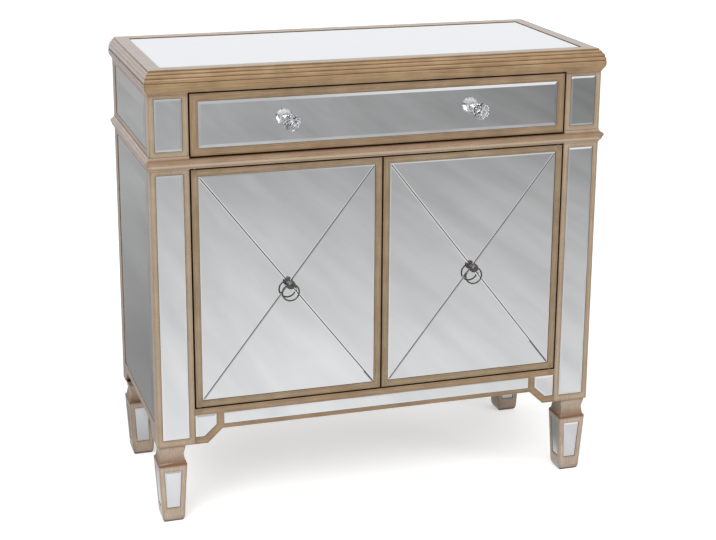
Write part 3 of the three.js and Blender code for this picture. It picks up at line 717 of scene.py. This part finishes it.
top_edge = [(out, TOP_Z + up) for out, up in edge_section()]
print("points down the edge of the top:", len(top_edge))

# %% The top
BODY_HALF, OPENING_HALF = 0.442, 0.369
FRONT_Y, BACK_Y = -0.171172, 0.215828
TOP_RIM, TOP_BED, TOP_WALL, TOP_BOARD, TOP_TRIM = 0.0297, 0.8737, 0.025, 0.020, 0.0035
# How far a cutter stands out of what it cuts
CLEAR = 0.005
# Glaze and painted shade lie in the valleys of the reeds and along this line, given as (out, z)
COVE_CREASE, GLAZE_REACH = (0, 0.8415), 0.0012
MOULDING_SHARP = 30


def body_ring(out, z, rear=0.0):
    """The outline of the body, let out by out at the front and sides and by rear at the back."""
    half = BODY_HALF + out
    return rectangle((-half, FRONT_Y - out), (half, BACK_Y + rear), z)


def mark_along(shape, what, lines, reach, most=1):
    """Mark how near each corner lies to lines round the body, given as (out, z)."""
    marks = shape.verts.layers.float.new(what)
    for vert in shape.verts:
        out = max(abs(vert.co.x) - BODY_HALF, FRONT_Y - vert.co.y)
        gap = min(hypot(out - line[0], vert.co.z - line[1]) for line in lines)
        vert[marks] = max(0, 1 - gap / reach) * most


rings = [body_ring(-TOP_RIM, z, -TOP_RIM) for z in (TOP_BED, TOP_Z)]
rings += [body_ring(out, z) for out, z in top_edge]
rings += [body_ring(-TOP_WALL, z, -TOP_WALL) for z in (TOP_BOTTOM, TOP_Z - TOP_BOARD)]
trim = block((-OPENING_HALF, FRONT_Y - WIDEST[0] - CLEAR, TOP_BOTTOM - CLEAR),
             (OPENING_HALF, FRONT_Y + TOP_WALL + CLEAR, TOP_BOTTOM + TOP_TRIM))
top_shape = carve(skin(rings), [trim])
for face in top_shape.faces:
    middle = face.calc_center_median()
    to_side = BODY_HALF - abs(middle.x)
    face.material_index = int(to_side < min(middle.y - FRONT_Y, BACK_Y - middle.y))
valleys = [top_edge[len(ARRIS) + reed * REED_STEPS] for reed in range(1, REEDS + 1)]
mark_along(top_shape, "glaze_and_shade", valleys + [COVE_CREASE], GLAZE_REACH)
top_piece = stand_in("top_frame", "top_frame_reeded", top_shape, paint["top"], MOULDING_SHARP)
# The top's faces that look sideways take the side gold: painted light
top_piece.data.materials.append(paint["sides"])
print("faces of the top:", len(top_piece.data.polygons))

# %% [markdown]
# ## The waist moulding
#
# A small moulding runs under the drawer, with a cove, a rounded nose and a second cove below it. Between
# the posts it is cut back, so that the drawer and the doors clear it. It is three lengths with mitred
# corners, as on the real thing. The section is a few measured points, and a smooth curve is drawn through
# each run of them, with a crease left where one shape meets the next.

# %% Waist moulding
WAIST_TOP, WAIST_HEIGHT, WAIST_OVERHANG, SEAT = 0.721, 0.0255, 0.008, 0.0003
WAIST_BOTTOM = WAIST_TOP - WAIST_HEIGHT
RAIL_BOTTOM, RAIL_TOP = 0.697, 0.716
# Where it gets a painted highlight and where painted shade: the line as (out, z), its reach and its
# strength
WAIST_PAINTED_HIGHLIGHT, WAIST_PAINTED_SHADE = ((0.0045, 0.7025), 0.005, 1.1), ((0.006, 0.7155), 0.010, 0.9)
# Points of the section as shares of its overhang and of its height
WAIST_RUNS = [
    [(0.1, 0), (0.16, 0.08), (0.35, 0.17), (0.66, 0.215)],
    [(0.74, 0.24), (0.92, 0.29), (1, 0.38), (0.94, 0.47), (0.82, 0.525), (0.72, 0.555)],
    [(0.73, 0.6), (0.67, 0.68), (0.5, 0.77), (0.32, 0.84), (0.18, 0.87)],
    [(0.14, 0.93), (0.1, 1)],
]


def flowing(points, steps=4):
    """A smooth curve through the points."""
    far = [Vector(point) for point in (points[0], *points, points[-1])]
    curve = []
    for a, b, c, d in zip(far, far[1:], far[2:], far[3:]):
        for t in [step / steps for step in range(steps)]:
            curve.append(b + (c - a) * (t / 2) + (2 * a - 5 * b + 4 * c - d) * (t * t / 2)
                         + (3 * b - a - 3 * c + d) * (t ** 3 / 2))
    return curve + [far[-1]]


waist_section = [(SEAT, WAIST_TOP)]
for run in WAIST_RUNS:
    waist_section += [(WAIST_OVERHANG * min(out, 1), WAIST_TOP - WAIST_HEIGHT * down)
                      for out, down in flowing(run)]
waist_section.append((SEAT, WAIST_BOTTOM))

front_ends = [[(sign * (BODY_HALF + out - SEAT), FRONT_Y - out, z) for out, z in waist_section]
              for sign in SIDES.values()]
gaps = [block((-OPENING_HALF, FRONT_Y - WAIST_OVERHANG - CLEAR, low), (OPENING_HALF, FRONT_Y + CLEAR, high))
        for low, high in ((RAIL_TOP, WAIST_TOP + CLEAR), (WAIST_BOTTOM - CLEAR, RAIL_BOTTOM))]
waist_shape = carve(skin(front_ends), gaps)
# A painted highlight along the nose and painted shade along the upper part
for what, (line, reach, most) in (("painted_highlight", WAIST_PAINTED_HIGHLIGHT), ("painted_shade", WAIST_PAINTED_SHADE)):
    mark_along(waist_shape, what, [line], reach, most)
stand_in("waist_moulding_front", "waist_front_run", waist_shape, paint["waist"], MOULDING_SHARP)
# The side runs take the side gold: painted light
for side, sign in SIDES.items():
    ends = [[(sign * (BODY_HALF + out), FRONT_Y - out + SEAT, z) for out, z in waist_section],
            [(sign * (BODY_HALF + out), BACK_Y, z) for out, z in waist_section]]
    stand_in(f"waist_moulding_{side}", f"waist_{side}_run", skin(ends), paint["sides"], MOULDING_SHARP)
print("points in the waist section:", len(waist_section))

# %% [markdown]
# ## The bevelled plates
#
# The edge of a mirror is ground to a shallow slope, the bevel, and its sharp rim is dulled with a stone.
# The construction gives every plate a bevel 0.8 mm deep with a sharp rim. That suits the wide bevels of
# the sides, and is too steep for the others. A bevel modifier could dull the rim but not lower a slope,
# so each rectangular plate is built again from rings: the back, the dulled rim, and the slope up to the
# flat. All its faces stay flat, because only then does the glass break a reflection in a clean line. The
# two holes for the studs of the knobs are left out of the drawer's plate, because the knobs cover them.

# %% Bevelled plates
RIM = 0.0003
GLASS_SHARP = 0.2
# How wide and how deep each bevel is, and the groove left round the plate, in metres
BEVELS = {
    "drawer_mirror": (0.0058, 0.00034, 0),
    "top_mirror": (0.0020, 0.0004, 0.0009),
    "apron_mirror_centre": (0.0030, 0.0002, 0),
    **{f"{place}_mirror_{part}_{side}": bevel
       for place, bevel in (("post", (0.0040, 0.00022, 0)), ("side", (0.025, 0.0008, 0)))
       for part in ("upper", "lower") for side in SIDES},
}


def bevelled_plate(node, width, drop, groove):
    """A rectangular plate in the node's place, built as rings from its back to its flat face."""
    low, high = (Vector(corner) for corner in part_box(node))
    thin = min(range(3), key=lambda axis: high[axis] - low[axis])
    across = [axis for axis in range(3) if axis != thin]
    outward = 1 if low[thin] + high[thin] > 0 else -1
    face = high[thin] if outward > 0 else low[thin]
    thickness = high[thin] - low[thin]
    rings = []
    for inset, depth in ((groove, thickness), (groove, drop + RIM), (groove + RIM, drop),
                         (groove + width, 0)):
        ring = []
        for ends in ((low, low), (high, low), (high, high), (low, high)):
            corner = Vector()
            for axis, end in zip(across, ends):
                corner[axis] = end[axis] + (inset if end is low else -inset)
            corner[thin] = face - outward * depth
            ring.append(corner)
        rings.append(ring)
    return skin(rings)


def set_plate(node, plate):
    stand_in(node, node + "_plate", plate, mirror_finish, GLASS_SHARP)


for node, bevel in BEVELS.items():
    set_plate(node, bevelled_plate(node, *bevel))
print("bevelled plates:", len(BEVELS))

# %% [markdown]
# Four three-cornered plates meet in a cross on each door, and their bevels are narrow, so that the cross
# shows as fine light and dark lines. Rings could make them too, but each has a small bite out of its tip
# for the stud of the ring. The plates of the construction have that bite, with a wider bevel, so their
# flat faces are let out here until the bevel is as narrow as the real one.

# %% Plates of the door crosses
WIDE_BEVEL, CROSS_BEVEL = 0.0045, 0.0025


def cross_plate(node):
    """The node's plate with its flat face let out, so that the bevel round it is narrower."""
    plate = solid_of(node)
    flat = min(plate.faces, key=lambda face: face.calc_center_median().y)
    a, b, c = (vert.co for vert in flat.verts)
    sides = [(b - c).length, (c - a).length, (a - b).length]
    centre = (a * sides[0] + b * sides[1] + c * sides[2]) / sum(sides)
    let_out = 1 + (WIDE_BEVEL - CROSS_BEVEL) * sum(sides) / (2 * flat.calc_area())
    steeper = WIDE_BEVEL / CROSS_BEVEL
    rim = max(vert.co.y for edge in flat.edges for face in edge.link_faces for vert in face.verts)
    for vert in plate.verts:
        if vert in flat.verts:
            vert.co = centre + (vert.co - centre) * let_out
        elif vert.co.y < rim:
            vert.co.y = rim - (rim - vert.co.y) * steeper
    return plate


for side in SIDES:
    for part in ("top", "bottom", "left", "right"):
        node = f"door_pane_{part}_{side}"
        set_plate(node, cross_plate(node))
print("bevels of the crosses narrowed to", CROSS_BEVEL / MM, "mm")

# %% [markdown]
# ## The feet
#
# Each foot is a tapered block under a thinner neck, with a small bevelled mirror let into each of its four
# faces. The construction has a flat ledge between the two. On the real foot it is a hollow slope, so the
# ledge is drawn up here, and the slope and its arris get painted shade. The edges are eased a little more
# than those of the boards, because feet get knocked. The mirrors taper and lean with the faces, so each is
# made from three rings.

# %% Feet and their mirrors
FOOT_EASE = 0.0013
FOOT_X = 0.413
FOOT_YS = {"front": -0.142172, "back": 0.186828}
ANKLE_Z, SHOULDER_Z = 0.012, 0.1205
ANKLE_WIDTH, SHOULDER_WIDTH = 0.0435, 0.055
# The slope from the block up to the neck, bent in along its middle
NECK_REACH, NECK_Z, SLOPE_Z, SLOPE_HALF = 0.0235, 0.1385, 0.1245, 0.0245
PAINTED_SHADE_END_Z = 0.1145
# How much painted shade the foot gets at these heights: deepest along the slope and its arris, and none 6
# mm under them
FOOT_PAINTED_SHADE = [(PAINTED_SHADE_END_Z, 0), (SHOULDER_Z, 1.0), (SLOPE_Z, 0.8), (NECK_Z, 0.25)]
# How near a height a corner counts as being at it: for the shape, and for the painted shade
SAME_HEIGHT, PAINTED_SHADE_HEIGHT = 0.0001, 0.002
FOOT_FRAME = 0.0103
FOOT_GLASS = (0.030, 0.1065)
# How far each ring stands in from the edge of the recess, and how deep under the face it lies
FOOT_RINGS = [(0.0003, 0.0024), (0.0003, 0.0013), (0.0038, 0.0003)]
FOOT_GLASS_SHARP = 3


def foot_width(z):
    return ANKLE_WIDTH + (SHOULDER_WIDTH - ANKLE_WIDTH) * (z - ANKLE_Z) / (SHOULDER_Z - ANKLE_Z)


def foot_glass_ring(inset, depth):
    low, high = FOOT_GLASS[0] + inset, FOOT_GLASS[1] - inset
    ring = []
    for sign, z in ((-1, low), (1, low), (1, high), (-1, high)):
        half = foot_width(z) / 2
        ring.append(Vector((sign * (half - FOOT_FRAME - inset), depth - half, z)))
    return ring


def sloped_foot(node, centre):
    """The foot of the construction, with the flat ledge under its neck drawn up into a hollow slope."""
    foot = solid_of(node)
    for vert in foot.verts:
        reach = max(abs(vert.co.x - centre.x), abs(vert.co.y - centre.y))
        if abs(vert.co.z - SHOULDER_Z) < SAME_HEIGHT and reach < NECK_REACH:
            vert.co.z = NECK_Z
    cut_through(foot, (0, 0, SLOPE_Z), (0, 0, 1))
    for vert in foot.verts:
        if abs(vert.co.z - SLOPE_Z) < SAME_HEIGHT:
            out = vert.co - centre
            shrink = SLOPE_HALF / max(abs(out.x), abs(out.y))
            vert.co.x, vert.co.y = centre.x + out.x * shrink, centre.y + out.y * shrink
    ease(foot, FOOT_EASE)
    # Painted shade along the slope and its arris
    cut_through(foot, (0, 0, PAINTED_SHADE_END_Z), (0, 0, 1))
    marks = foot.verts.layers.float.new("painted_shade")
    for vert in foot.verts:
        z, painted_shade = min(FOOT_PAINTED_SHADE, key=lambda place: abs(vert.co.z - place[0]))
        if abs(vert.co.z - z) < PAINTED_SHADE_HEIGHT:
            vert[marks] = painted_shade
    return foot


for side, sign in SIDES.items():
    for place, y in FOOT_YS.items():
        node, centre = f"foot_{place}_{side}", Vector((sign * FOOT_X, y, 0))
        stand_in(node, node + "_eased", sloped_foot(node, centre), paint["feet"])
        plates = bmesh.new()
        for quarter in range(4):
            turn = Matrix.Translation(centre) @ Matrix.Rotation(quarter * pi / 2, 4, "Z")
            skin([[turn @ corner for corner in foot_glass_ring(*ring)] for ring in FOOT_RINGS], plates)
        place_piece(f"foot_mirrors_{place}_{side}", plates, mirror_finish, "carcass",
                    FOOT_GLASS_SHARP)
print("width of a foot along its mirrors:", [round(foot_width(z) / MM, 1) for z in FOOT_GLASS], "mm")

# %% [markdown]
# ## Knobs, bosses and rings
#
# The drawer has two cut crystal knobs on turned chrome, and each door a ring that hangs in a ball. Turned
# metal is one section spun round its axis, so it is made that way here, with enough sides to stay
# round close up. The crystal isn't a smooth ball. Its facets come from rows of points on a sphere,
# each row turned by half a step, with the smallest solid drawn round them.

# %% Turning helpers
GLASS_FACE_Y = -0.170672
KNOB_Z, BOSS_Z = 0.77675, 0.46325
# The middle of each door, where a knob and a ring sit
DOORS = {side: sign * 0.18375 for side, sign in SIDES.items()}
TURNED_SIDES, TURNED_SHARP = 48, 40
# The stud that both fittings begin with
STUD = [(0, -20.8), (4.1, -20.8), (4.5, -20.4), (4.5, -17.8), (2, -17.8), (2, 0.3)]


def circle(radius, sides, turn=0.0):
    """Points round a circle, begun turn steps late."""
    angles = [2 * pi * (k + turn) / sides for k in range(sides)]
    return [(radius * cos(angle), radius * sin(angle)) for angle in angles]


def turned(section, x, z):
    """A section of (radius, reach outwards) in millimetres, spun about an axis that points to the front."""
    shape = bmesh.new()
    rows = []
    for radius, reach in section:
        points = circle(radius * MM, TURNED_SIDES) if radius else [(0, 0)]
        y = GLASS_FACE_Y - reach * MM
        rows.append([shape.verts.new((x + aside, y, z + up)) for aside, up in points])
    for here, there in zip(rows, rows[1:]):
        for k in range(TURNED_SIDES):
            corners = [here[k % len(here)], here[(k + 1) % len(here)],
                       there[(k + 1) % len(there)], there[k % len(there)]]
            shape.faces.new(list(dict.fromkeys(corners)))
    bmesh.ops.recalc_face_normals(shape, faces=shape.faces)
    return shape


# %% Crystal knobs
KNOB_SECTION = STUD + [
    (8.6, 0.3), (9, 0.7), (9, 1.5), (8.5, 2.2), (7.4, 2.5), (6.5, 2.9), (5.7, 3.8), (5.2, 5), (5, 6.4),
    (5.5, 6.8), (5.8, 7.5), (5.5, 8.2), (5, 8.6), (4.9, 10), (5.2, 11.5), (6, 12.9), (7.3, 13.9),
    (8.5, 14.3), (8.5, 15), (0, 15),
]
CRYSTAL_RADIUS, CRYSTAL_SIDES, CRYSTAL_STAND = 16, 12, 29.156
# Radius and reach of each row from the flat front to the seat
CRYSTAL_ROWS = [(4.6, 15.8)] + [(CRYSTAL_RADIUS * sin(radians(angle)), CRYSTAL_RADIUS * cos(radians(angle)))
                                for angle in (37, 60, 83, 106, 130)] + [(8, -13.856)]
SAME_FACET = 1


def crystal_shape(x):
    shape = bmesh.new()
    for row, (radius, reach) in enumerate(CRYSTAL_ROWS):
        for aside, up in circle(radius * MM, CRYSTAL_SIDES, row / 2):
            shape.verts.new((x + aside, GLASS_FACE_Y - (CRYSTAL_STAND + reach) * MM, KNOB_Z + up))
    bmesh.ops.convex_hull(shape, input=shape.verts)
    bmesh.ops.dissolve_limit(shape, angle_limit=radians(SAME_FACET), verts=shape.verts, edges=shape.edges)
    return shape


for side, x in DOORS.items():
    base, knob = turned(KNOB_SECTION, x, KNOB_Z), crystal_shape(x)
    stand_in(f"knob_base_{side}", f"turned_base_{side}", base, chrome, TURNED_SHARP)
    print("facets on a crystal:", len(knob.faces))
    stand_in(f"crystal_knob_{side}", f"cut_crystal_{side}", knob, crystal, SAME_FACET)

# %% Bosses and rings
BALL_RADIUS, BALL_STAND, NECK_RADIUS, BALL_STEPS = 8.8, 12, 3.6, 24
BORE_RADIUS, BORE_HALF, BORE_SIDES = 0.003138, 0.0138, 32
RING_RADIUS, RING_WIRE, RING_DROP = 0.0163, 0.0015, 0.01507
RING_STEPS, WIRE_SIDES = 96, 20
RING_Y = GLASS_FACE_Y - BALL_STAND * MM


def boss_section():
    neck = asin(NECK_RADIUS / BALL_RADIUS)
    ball = []
    for k in range(BALL_STEPS + 1):
        angle = neck + (pi - neck) * k / BALL_STEPS
        radius = BALL_RADIUS * sin(angle) if k < BALL_STEPS else 0
        ball.append((radius, BALL_STAND - BALL_RADIUS * cos(angle)))
    return STUD + [(5.1, 0.3), (5.5, 0.7), (5.5, 1.3), (5, 1.8), (4, 2.1), (NECK_RADIUS, 2.8)] + ball


def bore(x, z):
    return skin([[(x + end, RING_Y + out, z + up) for out, up in circle(BORE_RADIUS, BORE_SIDES)]
                 for end in (-BORE_HALF, BORE_HALF)])


def ring_shape(x, z):
    wire = circle(RING_WIRE, WIRE_SIDES)
    return skin([[(x + (RING_RADIUS + out) * cos_turn, RING_Y + forward, z + (RING_RADIUS + out) * sin_turn)
                  for out, forward in wire] for cos_turn, sin_turn in circle(1, RING_STEPS)], hoop=True)


for side, x in DOORS.items():
    boss = carve(turned(boss_section(), x, BOSS_Z), [bore(x, BOSS_Z)])
    stand_in(f"pull_boss_{side}", f"ball_boss_{side}", boss, gunmetal, TURNED_SHARP)
    stand_in(f"pull_ring_{side}", f"hanging_ring_{side}", ring_shape(x, BOSS_Z - RING_DROP), gunmetal)
print("ring wire", 2 * RING_WIRE / MM, "mm thick")

# %% [markdown]
# ## The dark cross lines
#
# Four mirrors meet in a cross on each door. Between their polished edges lies a thin line of dark mastic,
# which keeps dirt out and which draws the cross in the photograph. It could be painted onto the glass, but
# as a real bead at the bottom of the groove it catches shadow as the real one does.

# %% Mastic in the cross
SEAM_START, SEAM_END = 0.0065, 0.985
PANE_HALF = Vector((0.16925, 0, 0.21775))
SEAM_BACK, SEAM_FRONT = -0.1690, -0.17018
SEAM_HALF_BACK, SEAM_HALF_FRONT = 0.00012, 0.0010
# The section of the bead as (aside, y)
SEAM_SECTION = [(-SEAM_HALF_BACK, SEAM_BACK), (SEAM_HALF_BACK, SEAM_BACK),
                (SEAM_HALF_FRONT, SEAM_FRONT), (-SEAM_HALF_FRONT, SEAM_FRONT)]


def seam_shape(x):
    shape = bmesh.new()
    for across, up in ((-1, -1), (-1, 1), (1, -1), (1, 1)):
        heading = Vector((across * PANE_HALF.x, 0, up * PANE_HALF.z))
        along = heading.normalized()
        aside = Vector((-along.z, 0, along.x))
        spots = [end + Vector((x, 0, BOSS_Z)) for end in (along * SEAM_START, heading * SEAM_END)]
        skin([[spot + aside * half + Vector((0, y, 0)) for half, y in SEAM_SECTION]
              for spot in spots], shape)
    return shape


mastic = moulded_plastic("dark_mastic", (0.06, 0.058, 0.055), (0.12, 0.118, 0.112))
for side, x in DOORS.items():
    place_piece(f"cross_seams_{side}", seam_shape(x), mastic, f"door_{side}", sharp=0)
print("seams", round(2 * SEAM_HALF_FRONT / MM, 1), "mm wide")

# %% [markdown]
# ## The back and the small fittings
#
# The back is a plain board, let in between the sides and screwed to the edges of the shelves. A flat board
# with painted dots would do from afar. Here the holes are cut as cones and each holds a crosshead
# screw, because the board is seen when the cupboard is turned. Inside, the shelf rests on four pins, and
# each door has a thin steel plate that meets the magnetic catch.

# %% Back board and its screws
SCREWS = [(x, z) for x in (-0.38, -0.19, 0, 0.19, 0.38) for z in (0.2205, 0.47125, 0.7065)]
# The holes and the screws as (y, radius)
SINK = [(0.2126, 0.0014), (0.2152, 0.0037), (0.2164, 0.0037)]
SCREW = [(0.2131, 0.0013), (0.2151, 0.0033), (0.2155, 0.0034), (0.2156, 0.0032)]
SLOT_HALF, SLOT_REACH, SLOT_FLOOR = 0.00045, 0.0021, 0.2145
BACK_EASE = 0.0006
ROUND_SIDES = 24


def round_along_y(x, z, steps, shape):
    """A round solid along Y through (y, radius) steps."""
    skin([[(x + aside, y, z + up) for up, aside in circle(radius, ROUND_SIDES)]
          for y, radius in steps], shape)


def slots(half_x, half_z):
    shape = bmesh.new()
    for x, z in SCREWS:
        outline = rectangle((x - half_x, z - half_z), (x + half_x, z + half_z), 0)
        skin([[(a, y, b) for a, b, _ in outline] for y in (SLOT_FLOOR, BACK_Y + CLEAR)], shape)
    return shape


sinks, heads = bmesh.new(), bmesh.new()
for x, z in SCREWS:
    round_along_y(x, z, SINK, sinks)
    round_along_y(x, z, SCREW, heads)
board = block(*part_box("back_panel"))
ease(board, BACK_EASE)
stand_in("back_panel", "back_board", carve(board, [sinks]), veneer["z"], MOULDING_SHARP)
heads = carve(heads, [slots(SLOT_HALF, SLOT_REACH), slots(SLOT_REACH, SLOT_HALF)])
place_piece("back_screws", heads, steel, "carcass", MOULDING_SHARP)
print("screws in the back:", len(SCREWS))

# %% Shelf pins
PIN_RADIUS, PIN_REACH, PIN_EDGE, PIN_GAP, PIN_YS = 0.0025, 0.008, 0.0005, 0.0001, (-0.07, 0.16)
PIN_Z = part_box("shelf")[0][2] - PIN_RADIUS - PIN_GAP
SIDE_INNER = 0.424
# Each pin as (x, radius), from the side of the cupboard inwards
PIN = [(SIDE_INNER, PIN_RADIUS), (SIDE_INNER - PIN_REACH + PIN_EDGE, PIN_RADIUS),
       (SIDE_INNER - PIN_REACH, PIN_RADIUS - PIN_EDGE)]
pins = bmesh.new()
for sign in SIDES.values():
    for y in PIN_YS:
        skin([[(sign * x, y + aside, PIN_Z + up) for aside, up in circle(radius, ROUND_SIDES)]
              for x, radius in PIN], pins)
place_piece("shelf_pins", pins, steel, "carcass", MOULDING_SHARP)
print("shelf pins reach in by", PIN_REACH / MM, "mm")

# %% Strike plates
DOOR_BACK_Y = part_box("door_left")[1][1]
PLATE_LOW, PLATE_HIGH, PLATE_THICK, PLATE_CORNER = (0.0035, 0.6855), (0.0185, 0.6925), 0.0002, 0.0015
for side, sign in SIDES.items():
    left, right = sorted((sign * PLATE_LOW[0], sign * PLATE_HIGH[0]))
    strike = block((left, DOOR_BACK_Y, PLATE_LOW[1]), (right, DOOR_BACK_Y + PLATE_THICK, PLATE_HIGH[1]))
    corners = [edge for edge in strike.edges
               if abs(edge.verts[0].co.y - edge.verts[1].co.y) > PLATE_THICK / 2]
    bmesh.ops.bevel(strike, geom=corners, offset=PLATE_CORNER, segments=4, profile=0.5, affect="EDGES")
    place_piece(f"strike_plate_{side}", strike, chrome, f"door_{side}", TURNED_SHARP)
print("strike plates", PLATE_THICK / MM, "mm thick")

# %% [markdown]
# ## Plain nodes that keep their shape
#
# The two small mirrors at the corners of the apron, the boards inside, the pivots and the catch are near
# enough to their real shape. They could be built again like the rest, but little would be gained, so they
# stay as they are and only take a finish.

# %% Finishes for the nodes that stay
finish_of_slot = {
    "champagne_paint": paint["rails"], "mirror": mirror_finish, "interior_board": veneer["x"],
    "crystal": crystal, "chrome": chrome, "gunmetal": gunmetal, "steel": steel,
    "catch_plastic": black_plastic,
}
for node, thing in frame["nodes"].items():
    for place in thing.material_slots:
        place.material = finish_of_slot[slot_of_node[node]]
print("finishes:", sorted(finish_of_slot))
